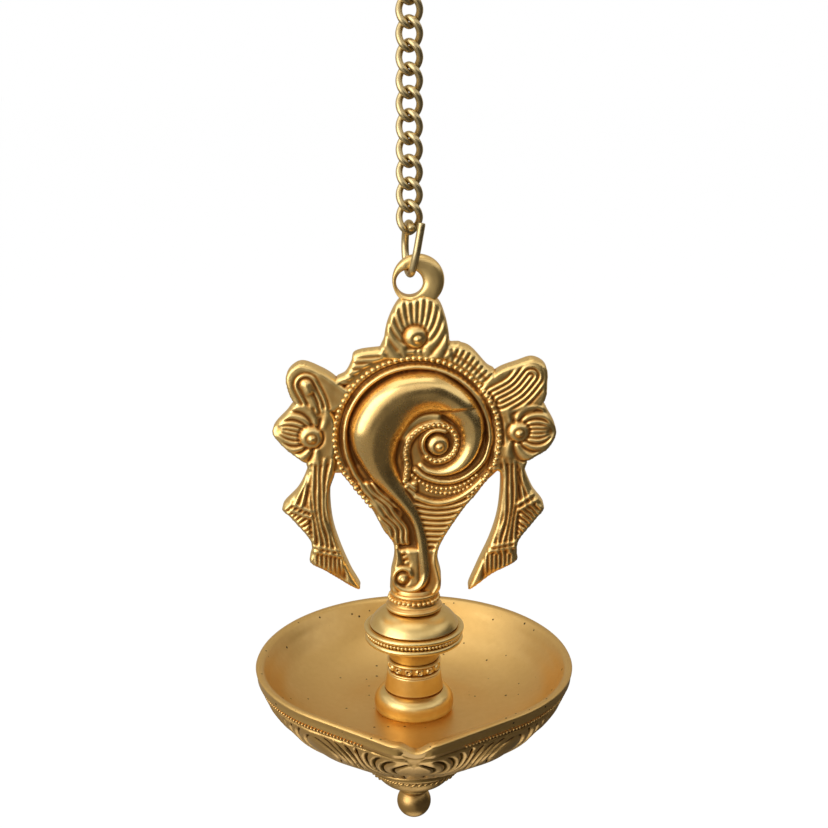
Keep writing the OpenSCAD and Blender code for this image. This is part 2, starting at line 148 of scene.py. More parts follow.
def inside(at: Array, outline: Array) -> Array:
    """Test which points lie within a closed outline.

    Args:
        at: Points, one row each.
        outline: Points of the outline.

    Returns:
        True for each point within.
    """
    x, y = at.T
    within = np.zeros(len(at), bool)
    for (x0, y0), (x1, y1) in zip(outline, np.roll(outline, -1, 0)):
        if y0 != y1:
            crosses = (y0 > y) != (y1 > y)
            within ^= crosses & (x < (x1 - x0) * (y - y0) / (y1 - y0) + x0)
    return within


def path_run(path: Array) -> Array:
    """Distance of each point of a path from its start."""
    return np.concatenate([[0], np.cumsum(np.linalg.norm(np.diff(path, axis=0), axis=1))])


def spaced(path: Array, pitch: float) -> Array:
    """Points at an even pitch along a path.

    Args:
        path: Points of the path, in a plane or in space.
        pitch: Distance from one point to the next, before it is fitted to the path's length.

    Returns:
        The points, with both ends included.
    """
    run = path_run(path)
    at = np.linspace(0, run[-1], max(2, round(run[-1] / pitch) + 1))
    return np.stack([np.interp(at, run, column) for column in path.T], 1)


def soft_step(low: float, high: float, value: Value) -> Value:
    """Smooth ramp from 0 at low to 1 at high."""
    share = np.clip((value - low) / (high - low), 0, 1)
    return share * share * (3 - 2 * share)


def bell(away: Value, half_width: float) -> Value:
    """1 in the middle, fading to either side over a half width."""
    return np.exp(-(away / half_width) ** 2)


def half_round(share: Value) -> Value:
    """Height of a half circle of radius 1 at a share of its radius from the middle."""
    return np.sqrt(np.maximum(0, 1 - share ** 2))


def angle_to(rays: Array, axis: Array) -> Array:
    """Angle in radians between each ray and an axis."""
    size = np.maximum(np.hypot(*rays.T) * np.hypot(*axis), TINY)
    return np.arccos(np.clip(rays @ axis / size, -1, 1))


def pleat(phase: Array, sharp: float = 0.7) -> Array:
    """Rounded ribs with narrow valleys, one for each whole step of the phase."""
    return np.abs(np.sin(np.pi * phase)) ** sharp


# Shells and pieces

@dataclass
class Shell:
    """One closed skin: corners in millimetres, and faces that index them."""

    corners: Array
    faces: list

    def joined(self, other: "Shell") -> "Shell":
        """Join another skin to this one.

        Args:
            other: The other skin.

        Returns:
            Both skins as one list of corners and faces.
        """
        shift = len(self.corners)
        moved = [tuple(i + shift for i in face) for face in other.faces]
        return Shell(np.concatenate([self.corners, other.corners]), self.faces + moved)


def loft(rings: Array, wrap: bool = False) -> Shell:
    """Skin over closed rings of equal length.

    Args:
        rings: Corners as ring, place on the ring, coordinate.
        wrap: True if the last ring joins the first. Otherwise flat caps close the two ends.

    Returns:
        The skin.
    """
    levels, places = rings.shape[:2]
    level = np.arange(levels if wrap else levels - 1)[:, None] * places
    above = (level + places) % (levels * places)
    place = np.arange(places)[None, :]
    beside = (place + 1) % places
    quads = np.stack([level + place, level + beside, above + beside, above + place], -1).reshape(-1, 4)
    faces = [tuple(quad) for quad in quads.tolist()]
    if not wrap:
        faces.append(tuple(range(places)))
        faces.append(tuple(range((levels - 1) * places, levels * places))[::-1])
    return Shell(rings.reshape(-1, 3), faces)


def lathe(profile: Array, axis_x: float, sides: int,
          swell: Optional[Callable[[Array, Array], Array]] = None) -> Shell:
    """Turned skin.

    Args:
        profile: Rows of radius and height, from one end to the other.
        axis_x: Place of the axis along X.
        sides: Number of corners round the axis.
        swell: Extra radius as a function of angle and height.

    Returns:
        The skin, capped at both ends.
    """
    angle = np.broadcast_to(round_angles(sides), (len(profile), sides))
    r = profile[:, :1] + np.zeros(sides)
    z = profile[:, 1:] + np.zeros(sides)
    if swell is not None:
        r = r + swell(angle, z)
    return loft(np.stack([axis_x + r * np.sin(angle), -r * np.cos(angle), z], -1))


def sweep(line: Array, radius: Array, sides: int = 20) -> Shell:
    """Round wire along a line in space.

    Args:
        line: Points of the wire's centre.
        radius: Radius at each point.
        sides: Corners round the wire.

    Returns:
        The skin, capped at both ends.
    """
    tangents = np.gradient(line, axis=0)
    tangents /= np.linalg.norm(tangents, axis=1)[:, None]
    never_along_wire = (0.3, 0.9, 0.2)
    side = np.cross(tangents[0], never_along_wire)
    angle = round_angles(sides)[:, None]
    rings = []
    for centre, tangent, r in zip(line, tangents, radius):
        side = side - tangent * (side @ tangent)
        side /= np.linalg.norm(side)
        rings.append(centre + r * (np.cos(angle) * side + np.sin(angle) * np.cross(tangent, side)))
    return loft(np.array(rings))


def rounded_profile(rows: Sequence[tuple[float, ...]], step: float, lift: float) -> Array:
    """Turned profile from its corners.

    Args:
        rows: Radius, height and an optional bulge of the stretch that starts there. The bulge is the height
            of a bow over the straight line, outward to the right of travel.
        step: Longest stretch between two points of the result.
        lift: Height that the rows start from.

    Returns:
        Rows of radius and height.
    """
    round_from = 0.35
    stretches = []
    for here, ahead in zip(rows[:-1], rows[1:]):
        start, way = np.array(here[:2], float), np.subtract(ahead[:2], here[:2])
        bulge = here[2] if len(here) > 2 else 0.0
        length = float(np.hypot(*way))
        count = max(1, math.ceil((length + 2 * abs(bulge)) / step))
        share = np.arange(count) / count
        bow = 4 * share * (1 - share)
        if abs(bulge) > round_from * length:
            share = (1 - np.cos(np.pi * share)) / 2
            bow = half_round(2 * share - 1)
        normal = np.array([way[1], -way[0]]) / max(length, TINY)
        stretches.append(start + way * share[:, None] + normal * (bulge * bow)[:, None])
    stretches.append(np.array([rows[-1][:2]], float))
    return np.concatenate(stretches) + (0, lift)


def ring_places(axis_x: float, radius: float, z: float, count: int) -> Array:
    """Points evenly round the lamp's axis."""
    angle = round_angles(count)
    return np.stack([axis_x + radius * np.sin(angle), -radius * np.cos(angle), np.full(count, z)], 1)


@dataclass(frozen=True)
class Shading:
    """How a skin is shaded: edges sharper than the crease stay crisp, and its recesses are masked.

    The rounds of smoothing set how wide a recess may be. The gain is the mask's share for a millimetre of
    depth.
    """

    crease: float
    rounds: int
    gain: float


WIRE_SHADING = Shading(45, 8, 0.2)
LINK_SHADING = Shading(45, 6, 0.25)
RELIEF_SHADING = Shading(60, 10, 2.2)
COLLAR_SHADING = Shading(40, 6, 2.0)
TURNED_SHADING = Shading(50, 8, 2.2)
BALL_SHADING = Shading(50, 8, 1.5)
PLAIN_SHADING = Shading(50, 0, 0.0)
CARVED_SHADING = Shading(50, 12, 1.8)


def fetch(items: bpy.types.bpy_prop_collection, name: str, width: int, kind: type = float) -> Array:
    """Values of one property of a list's items.

    Args:
        items: The list, such as a mesh's vertices.
        name: Name of the property.
        width: Numbers that each item has.
        kind: Type of the numbers.

    Returns:
        One row for each item.
    """
    values = np.empty(len(items) * width, kind)
    items.foreach_get(name, values)
    return values.reshape(-1, width)


def store(mesh: bpy.types.Mesh, name: str, values: Array) -> None:
    """Keep one value for each corner of a mesh, for its finish to read.

    Args:
        mesh: The mesh.
        name: Name of the value.
        values: The value of each corner.
    """
    kept = mesh.attributes.get(name) or mesh.attributes.new(name, "FLOAT", "POINT")
    kept.data.foreach_set("value", values.astype(np.float32))


def stored(mesh: bpy.types.Mesh, name: str) -> Array:
    """Value that each corner of a mesh keeps under a name."""
    return fetch(mesh.attributes[name].data, "value", 1)[:, 0]


def mask_recesses(mesh: bpy.types.Mesh, shading: Shading) -> None:
    """Store how deep each corner lies: 0.5 on even ground, towards 1 in recesses and towards 0 on ridges.

    Args:
        mesh: A finished mesh in metres.
        shading: Width and gain of the mask.
    """
    corners = fetch(mesh.vertices, "co", 3) / MM
    normals = fetch(mesh.vertices, "normal", 3)
    one, other = fetch(mesh.edges, "vertices", 2, np.int32).T
    count = len(corners)
    neighbours = np.maximum(1, np.bincount(one, minlength=count) + np.bincount(other, minlength=count))
    even = corners
    for _ in range(shading.rounds):
        sums = [np.bincount(one, column[other], count) + np.bincount(other, column[one], count)
                for column in even.T]
        even = np.stack(sums, 1) / neighbours[:, None]
    depth = ((even - corners) * normals).sum(1)
    store(mesh, "recess", np.clip(0.5 + shading.gain * depth, 0, 1))


def make_mesh(name: str, shell: Shell, shading: Shading) -> bpy.types.Mesh:
    """Blender mesh of a shell, with outward faces and its recess mask.

    Args:
        name: Name of the mesh.
        shell: The skin in millimetres.
        shading: How it is shaded.

    Returns:
        The mesh in metres.
    """
    mesh = bpy.data.meshes.new(name)
    mesh.from_pydata((shell.corners * MM).tolist(), [], shell.faces)
    draft = bmesh.new()
    draft.from_mesh(mesh)
    bmesh.ops.recalc_face_normals(draft, faces=draft.faces)
    draft.to_mesh(mesh)
    draft.free()
    mesh.shade_smooth()
    mesh.set_sharp_from_angle(angle=math.radians(shading.crease))
    mask_recesses(mesh, shading)
    return mesh


def show(name: str, data: bpy.types.ID) -> bpy.types.Object:
    """Object in the scene for a mesh, a light or a camera.

    Args:
        name: Name of the object.
        data: What it shows.

    Returns:
        The object.
    """
    shown = bpy.data.objects.new(name, data)
    bpy.context.scene.collection.objects.link(shown)
    return shown


@dataclass(frozen=True)
class Carrier:
    """Where a piece belongs: the body it rides on, its material slot and the nodes it stands for."""

    body: str
    slot: str
    nodes: tuple[str, ...] = ()


def make_piece(name: str, mesh: bpy.types.Mesh, finish: bpy.types.Material, carrier: Carrier) -> None:
    """Show a mesh as a piece that rides on its body.

    Args:
        name: Name of the piece.
        mesh: Its finished mesh.
        finish: Its material, unless the mesh already has its own.
        carrier: Body, slot and nodes that it belongs to.
    """
    if not mesh.materials:
        mesh.materials.append(finish)
    piece = show(name, mesh)
    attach(piece, carrier.body)
    if carrier.nodes:
        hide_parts(*carrier.nodes)
    LOG.info("%s rides on %s with %d faces", name, carrier.body, len(mesh.polygons))


def shell_piece(name: str, shell: Shell, shading: Shading, finish: bpy.types.Material,
                carrier: Carrier) -> None:
    """Show a shell as a piece that rides on its body."""
    make_piece(name, make_mesh(name, shell, shading), finish, carrier)


# Node trees

class NodeNet:
    """Adds nodes and links to one node tree."""

    def __init__(self, tree: bpy.types.NodeTree) -> None:
        """Keep the tree that nodes are added to."""
        self.tree = tree

    def node(self, kind: str, inputs: Optional[dict] = None, **settings: object) -> bpy.types.Node:
        """Add a node.

        Args:
            kind: Blender's name of the node type.
            inputs: Values or sockets by input name or number.
            **settings: Properties of the node.

        Returns:
            The node.
        """
        node = self.tree.nodes.new(kind)
        for key, value in settings.items():
            setattr(node, key, value)
        for key, value in (inputs or {}).items():
            self.feed(node.inputs[key], value)
        return node

    def feed(self, socket: bpy.types.NodeSocket, value: object) -> None:
        """Link an input to another socket, or set its constant.

        Args:
            socket: The input.
            value: A socket or a constant.
        """
        if isinstance(value, bpy.types.NodeSocket):
            self.tree.links.new(value, socket)
        else:
            socket.default_value = value

    def calc(self, operation: str, *values: object) -> bpy.types.NodeSocket:
        """Result of a math node on up to three values."""
        return self.node("ShaderNodeMath", dict(enumerate(values)), operation=operation).outputs[0]

    def mix(self, share: object, first: object, second: object) -> bpy.types.NodeSocket:
        """Colour between two colours."""
        return self.node("ShaderNodeMix", {0: share, 6: first, 7: second}, data_type="RGBA").outputs[2]

    def noise(self, place: bpy.types.NodeSocket, scale: float, detail: float) -> bpy.types.NodeSocket:
        """Smooth noise from 0 to 1."""
        inputs = {"Vector": place, "Scale": scale, "Detail": detail}
        return self.node("ShaderNodeTexNoise", inputs).outputs["Fac"]

    def ramp(self, value: object, low: object, high: object, start: float = 0.0,
             end: float = 1.0) -> bpy.types.NodeSocket:
        """Smooth ramp of a value between two limits."""
        limits = dict(enumerate((value, low, high, start, end)))
        return self.node("ShaderNodeMapRange", limits, interpolation_type="SMOOTHSTEP").outputs[0]

    def solidify(self, shape: bpy.types.NodeSocket, finish: bpy.types.NodeSocket) -> bpy.types.NodeSocket:
        """End of a geometry tree: real, smooth faces with a material.

        Args:
            shape: Geometry with instances.
            finish: Socket of the material.

        Returns:
            The finished geometry.
        """
        real = self.node("GeometryNodeRealizeInstances", {"Geometry": shape})
        even = self.node("GeometryNodeSetShadeSmooth", {"Geometry": real.outputs[0]})
        dressed = self.node("GeometryNodeSetMaterial", {"Geometry": even.outputs[0], "Material": finish})
        return dressed.outputs[0]


def node_group(name: str, kind: str, inputs: dict, outputs: dict) -> tuple[NodeNet, dict, dict]:
    """New node group with named sockets.

    Args:
        name: Name of the group.
        kind: Blender's name of the tree type.
        inputs: Names of the inputs by socket type.
        outputs: Names of the outputs by socket type.

    Returns:
        The group's net, the sockets that its inputs come from and those that its outputs go to.
    """
    tree = bpy.data.node_groups.new(name, kind)
    for way, sockets in (("INPUT", inputs), ("OUTPUT", outputs)):
        for socket_type, names in sockets.items():
            for socket in names:
                tree.interface.new_socket(name=socket, in_out=way, socket_type=f"NodeSocket{socket_type}")
    start, end = tree.nodes.new("NodeGroupInput"), tree.nodes.new("NodeGroupOutput")
    return NodeNet(tree), start.outputs, end.inputs


def grow(name: str, tree: bpy.types.NodeTree, start: bpy.types.Mesh, values: dict) -> bpy.types.Mesh:
    """Plain mesh that a Geometry Nodes tree makes.

    Args:
        name: Name of the mesh.
        tree: The tree.
        start: Mesh that it starts from.
        values: Its inputs by name.

    Returns:
        The evaluated mesh.
    """
    seed = show(name, start)
    modifier = seed.modifiers.new("grow", "NODES")
    modifier.node_group = tree
    for item in tree.interface.items_tree:
        if item.in_out == "INPUT" and item.name in values:
            modifier[item.identifier] = values[item.name]
    graph = bpy.context.evaluated_depsgraph_get()
    mesh = bpy.data.meshes.new_from_object(seed.evaluated_get(graph))
    mesh.name = name
    bpy.data.objects.remove(seed)
    return mesh


class BeadShape(Enum):
    """Form of what is set along a row."""

    ROUND = "round"
    STRAND = "strand"


def bead_tree(shape: BeadShape) -> bpy.types.NodeTree:
    """Tree that sets a bead on every point of a mesh.

    Args:
        shape: Round bead, or a leaning strand of a rope.

    Returns:
        The tree, with inputs for the bead's three radii and the material.
    """
    smallest, largest, seed = 0.86, 1.08, 7
    net, start, end = node_group(
        f"bead_row_{shape.value}", "GeometryNodeTree",
        {"Geometry": ["Geometry"], "Vector": ["Radii"], "Material": ["Finish"]}, {"Geometry": ["Geometry"]})
    fineness = 2 if shape is BeadShape.ROUND else 3
    bead = net.node("GeometryNodeMeshIcoSphere", {"Radius": 1.0, "Subdivisions": fineness})
    turn = net.node("GeometryNodeInputNamedAttribute", {"Name": "turn"}, data_type="FLOAT_VECTOR")
    points = net.node("GeometryNodeMeshToPoints", {"Mesh": start["Geometry"]})
    size = net.node("FunctionNodeRandomValue", {2: smallest, 3: largest, "Seed": seed}, data_type="FLOAT")
    scale = net.node("ShaderNodeVectorMath", {0: start["Radii"], 3: size.outputs[1]}, operation="SCALE")
    row = net.node("GeometryNodeInstanceOnPoints", {
        "Points": points.outputs[0], "Instance": bead.outputs["Mesh"], "Rotation": turn.outputs[0],
        "Scale": scale.outputs[0]})
    net.feed(end[0], net.solidify(row.outputs[0], start["Finish"]))
    return net.tree


def bead_piece(name: str, places: Array, radii: Sequence[float], finish: bpy.types.Material, slot: str,
               turns: Optional[Array] = None) -> None:
    """Row of beads as a piece of the lamp.

    Args:
        name: Name of the piece.
        places: Centre of each bead in millimetres.
        radii: The bead's three radii in millimetres.
        finish: Its material.
        slot: Its material slot.
        turns: Turn of each bead about X, Y and Z in radians, for the strands of a rope.
    """
    polished_mask = 0.32
    shape = BeadShape.ROUND if turns is None else BeadShape.STRAND
    tree = bpy.data.node_groups.get(f"bead_row_{shape.value}") or bead_tree(shape)
    seeds = bpy.data.meshes.new(f"{name}_places")
    seeds.from_pydata((places * MM).tolist(), [], [])
    turn = seeds.attributes.new("turn", "FLOAT_VECTOR", "POINT")
    angles = np.zeros((len(places), 3)) if turns is None else turns
    turn.data.foreach_set("vector", angles.astype(np.float32).ravel())
    mesh = grow(name, tree, seeds, {"Radii": [r * MM for r in radii], "Finish": finish})
    store(mesh, "recess", np.full(len(mesh.vertices), polished_mask))
    make_piece(name, mesh, finish, Carrier(LAMP, slot))


# Finishes

@dataclass(frozen=True)
class BrassFinish:
    """A brass surface: its colours, how its recesses darken with patina, soot and painted shade, and how it
    shines.
    """

    name: str
    polished: Colour
    body: Colour
    patina: Colour
    patina_share: float
    shine: float
    dullness: float
    grain: float
    # Darkening of the deepest recesses towards black: soot and painted shade.
    soot_and_shade: float
    pits: float = 0.0
    edge: Colour = (0.92, 0.74, 0.42)
    lacquer: float = 0.7
    lacquer_blur: float = 0.3
    grain_depth: float = 0.3

    def material(self) -> bpy.types.Material:
        """Build the procedural material.

        Returns:
            The material.
        """
        material = bpy.data.materials.new(self.name)
        material.use_nodes = True
        net = NodeNet(material.node_tree)
        recess = net.node("ShaderNodeAttribute", attribute_name="recess")
        burnish = net.node("ShaderNodeAttribute", attribute_name="burnish")
        aged = net.node("ShaderNodeGroup", node_tree=bpy.data.node_groups.get("aged_brass") or aged_brass())
        values = {
            "Polished": (*self.polished, 1), "Body": (*self.body, 1), "Patina": (*self.patina, 1),
            "Patina Share": self.patina_share, "Shine": self.shine, "Dullness": self.dullness,
            "Pits": self.pits, "Soot And Shade": self.soot_and_shade, "Lacquer": self.lacquer,
            "Recess": recess.outputs["Fac"], "Burnish": burnish.outputs["Fac"]}
        for name, value in values.items():
            net.feed(aged.inputs[name], value)
        bump = net.node("ShaderNodeBump", {
            "Strength": self.grain, "Distance": self.grain_depth * MM, "Height": aged.outputs["Height"]})
        shader = net.tree.nodes["Principled BSDF"]
        looks = {
            "Base Color": aged.outputs["Color"], "Roughness": aged.outputs["Roughness"],
            "Metallic": aged.outputs["Metallic"], "Coat Weight": aged.outputs["Coat"],
            "Coat Roughness": self.lacquer_blur, "Specular Tint": (*self.edge, 1),
            "Normal": bump.outputs["Normal"]}
        for name, value in looks.items():
            net.feed(shader.inputs[name], value)
        return material


def aged_brass() -> bpy.types.NodeTree:
    """Shared effect: brass that is polished on its ridges, mottled on its faces, and dark in its recesses
    with patina, soot and painted shade.

    Returns:
        The node group.
    """
    black = (0.022, 0.012, 0.006, 1)
    cloud_drift, mottle_drift, mottle_blur = 0.3, 0.22, 0.16
    hollow_level, soot_and_shade_level, bright_level = (0.52, 0.8), (0.76, 1.02), (0.56, 0.24)
    pit_rarity, pit_edge, pit_spread, pit_core, pit_depth = 0.45, 0.08, 0.12, 0.06, 2.5
    burnish_glow, burnish_gloss, burnish_calm = 0.6, -0.28, -0.75
    grain_share, mottle_share, dirt = 0.35, 0.65, 0.12
    net, start, end = node_group(
        "aged_brass", "ShaderNodeTree",
        {"Color": ["Polished", "Body", "Patina"],
         "Float": ["Recess", "Patina Share", "Shine", "Dullness", "Pits", "Burnish", "Soot And Shade", "Lacquer"]},
        {"Color": ["Color"], "Float": ["Roughness", "Metallic", "Coat", "Height"]})
    calc = net.calc
    place = net.node("ShaderNodeTexCoord").outputs["Object"]
    clouds = net.noise(place, 70.0, 4.0)
    mottle = net.noise(place, 420.0, 5.0)
    grain = net.noise(place, 2600.0, 2.0)
    uneven = calc("SUBTRACT", mottle, 0.5)
    cloudy = calc("SUBTRACT", clouds, 0.5)
    drift = calc("MULTIPLY_ADD", cloudy, cloud_drift, calc("MULTIPLY", uneven, mottle_drift))
    level = calc("ADD", start["Recess"], drift)
    hollow = calc("MULTIPLY", net.ramp(level, *hollow_level), start["Patina Share"])
    # Soot and painted shade: the deepest recesses are mixed towards black.
    soot_and_shade = calc("MULTIPLY", net.ramp(level, *soot_and_shade_level), start["Soot And Shade"])
    cells = net.node("ShaderNodeTexVoronoi", {"Vector": place, "Scale": 260.0})
    pick = net.node("ShaderNodeSeparateColor", {0: cells.outputs["Color"]}).outputs
    chance = calc("GREATER_THAN", pick[0], pit_rarity)
    hole = net.ramp(cells.outputs["Distance"], calc("MULTIPLY_ADD", pick[1], pit_spread, pit_edge), pit_core)
    pits = calc("MULTIPLY", calc("MULTIPLY", chance, hole), start["Pits"])
    dark = calc("MAXIMUM", hollow, pits)
    shown = calc("MAXIMUM", net.ramp(level, *bright_level), calc("MULTIPLY", start["Burnish"], burnish_glow))
    face = net.mix(hollow, net.mix(shown, start["Body"], start["Polished"]), start["Patina"])
    net.feed(end["Color"], net.mix(calc("MAXIMUM", soot_and_shade, pits), face, black))
    clear = calc("MULTIPLY", start["Shine"], calc("MULTIPLY_ADD", start["Burnish"], burnish_gloss, 1.0))
    rough = net.node("ShaderNodeMix", {0: dark, 2: clear, 3: start["Dullness"]})
    net.feed(end["Roughness"], calc("MULTIPLY_ADD", uneven, mottle_blur, rough.outputs[0]))
    net.feed(end["Metallic"], calc("SUBTRACT", 1.0, calc("MULTIPLY", dark, dirt)))
    net.feed(end["Coat"], calc("MULTIPLY", start["Lacquer"], calc("SUBTRACT", 1.0, dark)))
    fine = calc("MULTIPLY_ADD", grain, grain_share, calc("MULTIPLY", mottle, mottle_share))
    fine = calc("MULTIPLY", fine, calc("MULTIPLY_ADD", start["Burnish"], burnish_calm, 1.0))
    net.feed(end["Height"], calc("SUBTRACT", fine, calc("MULTIPLY", pits, pit_depth)))
    return net.tree


CAST = BrassFinish(
    "cast_brass", polished=(0.91, 0.625, 0.23), body=(0.7, 0.39, 0.1), patina=(0.44, 0.165, 0.026),
    patina_share=0.9, shine=0.36, dullness=0.55, grain=0.3, soot_and_shade=0.62)
TURNED = BrassFinish(
    "turned_brass", polished=(0.84, 0.62, 0.25), body=(0.72, 0.475, 0.15), patina=(0.34, 0.12, 0.017),
    patina_share=0.9, shine=0.32, dullness=0.5, grain=0.16, soot_and_shade=0.8)
SATIN = BrassFinish(
    "satin_brass", polished=(0.78, 0.505, 0.165), body=(0.71, 0.44, 0.13), patina=(0.2, 0.09, 0.02),
    patina_share=0.6, shine=0.42, dullness=0.55, grain=0.2, soot_and_shade=0.5, pits=1.0)
CARVED = BrassFinish(
    "carved_brass", polished=(0.76, 0.47, 0.155), body=(0.56, 0.33, 0.09), patina=(0.12, 0.05, 0.012),
    patina_share=1.0, shine=0.36, dullness=0.55, grain=0.25, soot_and_shade=0.95, lacquer=0.6)
# Turned brass painted darker for the foot and ball: painted shade under the bowl.
SHADED_FOOT = BrassFinish(
    "shaded_foot_brass", polished=(0.6, 0.365, 0.115), body=(0.42, 0.24, 0.065), patina=(0.1, 0.042, 0.01),
    patina_share=1.0, shine=0.36, dullness=0.55, grain=0.25, soot_and_shade=0.95, lacquer=0.45)
WIRE = BrassFinish(
    "wire_brass", polished=(0.72, 0.57, 0.30), body=(0.56, 0.42, 0.19), patina=(0.12, 0.07, 0.025),
    patina_share=0.85, shine=0.36, dullness=0.5, grain=0.16, soot_and_shade=0.6)


# Layout

def node_box(node: str) -> tuple[Array, Array]:
    """Lowest and highest corner of a node in millimetres."""
    low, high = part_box(node)
    return np.array(low) / MM, np.array(high) / MM


@dataclass(frozen=True)
class Layout:
    """Heights of the lamp's main faces, taken from the frame."""

    axis_x: float
    disc_z: float
    collar_z: float
    floor_z: float
    rim_z: float
    foot_z: float
    neck_z: float
    ball_z: float

    @classmethod
    def from_frame(cls, eye_top: float = 67.0) -> "Layout":
        """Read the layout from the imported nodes.

        Args:
            eye_top: Height of the eye's top over the centre of the plaque's disc.

        Returns:
            The layout.
        """
        stand_low, stand_high = node_box("pedestal")
        bowl_low, bowl_high = node_box("bowl")
        return cls(
            axis_x=float(stand_low[0] + stand_high[0]) / 2,
            disc_z=float(node_box("conch_plaque")[1][2]) - eye_top,
            collar_z=float(stand_high[2]), floor_z=float(stand_low[2]),
            rim_z=float(bowl_high[2]), foot_z=float(bowl_low[2]),
            neck_z=float(node_box("foot_collar")[0][2]), ball_z=float(node_box("ball_finial")[0][2]))


# Wirework

def turned_about_z(line: Array, angle: float) -> Array:
    """Points in space turned about the vertical by an angle in degrees."""
    c, s = math.cos(math.radians(angle)), math.sin(math.radians(angle))
    return line @ np.array([(c, s, 0), (-s, c, 0), (0, 0, 1)])


@dataclass
class Wirework:
    """Hook, chain and open ring, with the size of each wire's cut ends as a share of the wire."""

    links: int = 12
    hook_wire: float = 3.2
    hook_mouth: float = 16.0
    hook_eye: float = 9.0
    hook_shank: float = 12.0
    hook_tip: float = -25.0
    hook_curl: float = -240.0
    hook_turn: float = 45.0
    hook_ends: Point = (0.75, 0.5)
    link_wire: float = 2.4
    link_width: float = 9.5
    link_twist: float = 45.0
    ring_wire: float = 2.7
    ring_width: float = 12.5
    ring_height: float = 15.0
    ring_bend: Point = (34, -225)
    ring_turn: float = 12.0
    ring_splay: float = 10.0
    leg_rise: float = 1.84
    leg_front: float = 0.24
    ring_ends: Point = (0.6, 0.88)

    def hook(self, finish: bpy.types.Material) -> None:
        """Bent wire hook above the chain.

        Args:
            finish: Material of the wire.
        """
        crook = (self.hook_mouth + self.hook_wire) / 2
        crook_z = -self.hook_mouth / 2
        eye = (self.hook_eye + self.hook_wire) / 2
        eye_z = crook_z - self.hook_shank - self.hook_eye / 2
        share = np.linspace(0, 1, 24)[1:-1]
        shank_x = -crook + (eye + crook) * soft_step(0, 1, share)
        shank = np.stack([shank_x, crook_z + (eye_z - crook_z) * share], 1)
        bend = arc((0, crook_z), crook, self.hook_tip, 180, 40)
        flat = np.concatenate([bend, shank, arc((0, eye_z), eye, 0, self.hook_curl, 48)])
        line = turned_about_z(np.insert(flat, 1, 0, axis=1), self.hook_turn)
        shell_piece("top_hook_wire", wire(line, self.hook_wire / 2, self.hook_ends), WIRE_SHADING, finish,
                    Carrier("hook", "wire_brass", ("top_hook",)))

    def chain(self, finish: bpy.types.Material) -> None:
        """Twisted links, each on its own body.

        Args:
            finish: Material of the links.
        """
        tree = link_tree()
        for number in range(1, self.links + 1):
            node = f"chain_link_{number:02d}"
            low, high = node_box(node)
            start = bpy.data.meshes.new(f"{node}_start")
            mesh = grow(f"{node}_wire", tree, start, {
                "Half Width": (self.link_width - self.link_wire) / 2 * MM,
                "Half Height": ((high[2] - low[2]) - self.link_wire) / 2 * MM,
                "Twist": math.radians(self.link_twist), "Wire": self.link_wire / 2 * MM,
                "Centre": (low[2] + high[2]) / 2 * MM, "Finish": finish})
            mask_recesses(mesh, LINK_SHADING)
            make_piece(f"{node}_wire", mesh, finish, Carrier(f"link_{number:02d}", "wire_brass", (node,)))

    def ring(self, finish: bpy.types.Material) -> None:
        """Open ring: over the last link, down the back, through the eye and up the splayed front leg.

        Args:
            finish: Material of the wire.
        """
        half_w = (self.ring_width + self.ring_wire) / 2
        half_h = (self.ring_height + self.ring_wire) / 2
        low = node_box("hanger_ring")[0][2] + self.ring_wire / 2
        bend = np.radians(np.linspace(*self.ring_bend, 90))
        oval = np.stack([0 * bend, -half_w * np.sin(bend), half_h * np.cos(bend)], 1)
        share = np.linspace(0, 1, 26)[1:]
        up = share * half_h * self.leg_rise
        front = -half_w * self.leg_front * np.sin(np.pi / 2 * np.minimum(1, 2 * share))
        leg = oval[-1] + np.stack([up * math.tan(math.radians(self.ring_splay)), front, up], 1)
        line = turned_about_z(np.concatenate([oval, leg]), self.ring_turn) + (0, 0, low + half_h)
        shell_piece("hanger_ring_wire", wire(line, self.ring_wire / 2, self.ring_ends), WIRE_SHADING, finish,
                    Carrier("ring", "wire_brass", ("hanger_ring",)))


def wire(line: Array, radius: float, ends: Point) -> Shell:
    """Wire with its two ends eased.

    Args:
        line: Centre of the wire.
        radius: Its radius.
        ends: Radius of the flat at the first and the last end, as a share.

    Returns:
        The skin.
    """
    ease_length = 1.6
    size = np.full(len(line), radius)
    run = path_run(line)
    for share, from_end in zip(ends, (run, run[-1] - run)):
        ease = (1 - share) * radius * ease_length
        size *= share + (1 - share) * half_round(1 - np.clip(from_end / ease, 0, 1))
    return sweep(line, size)


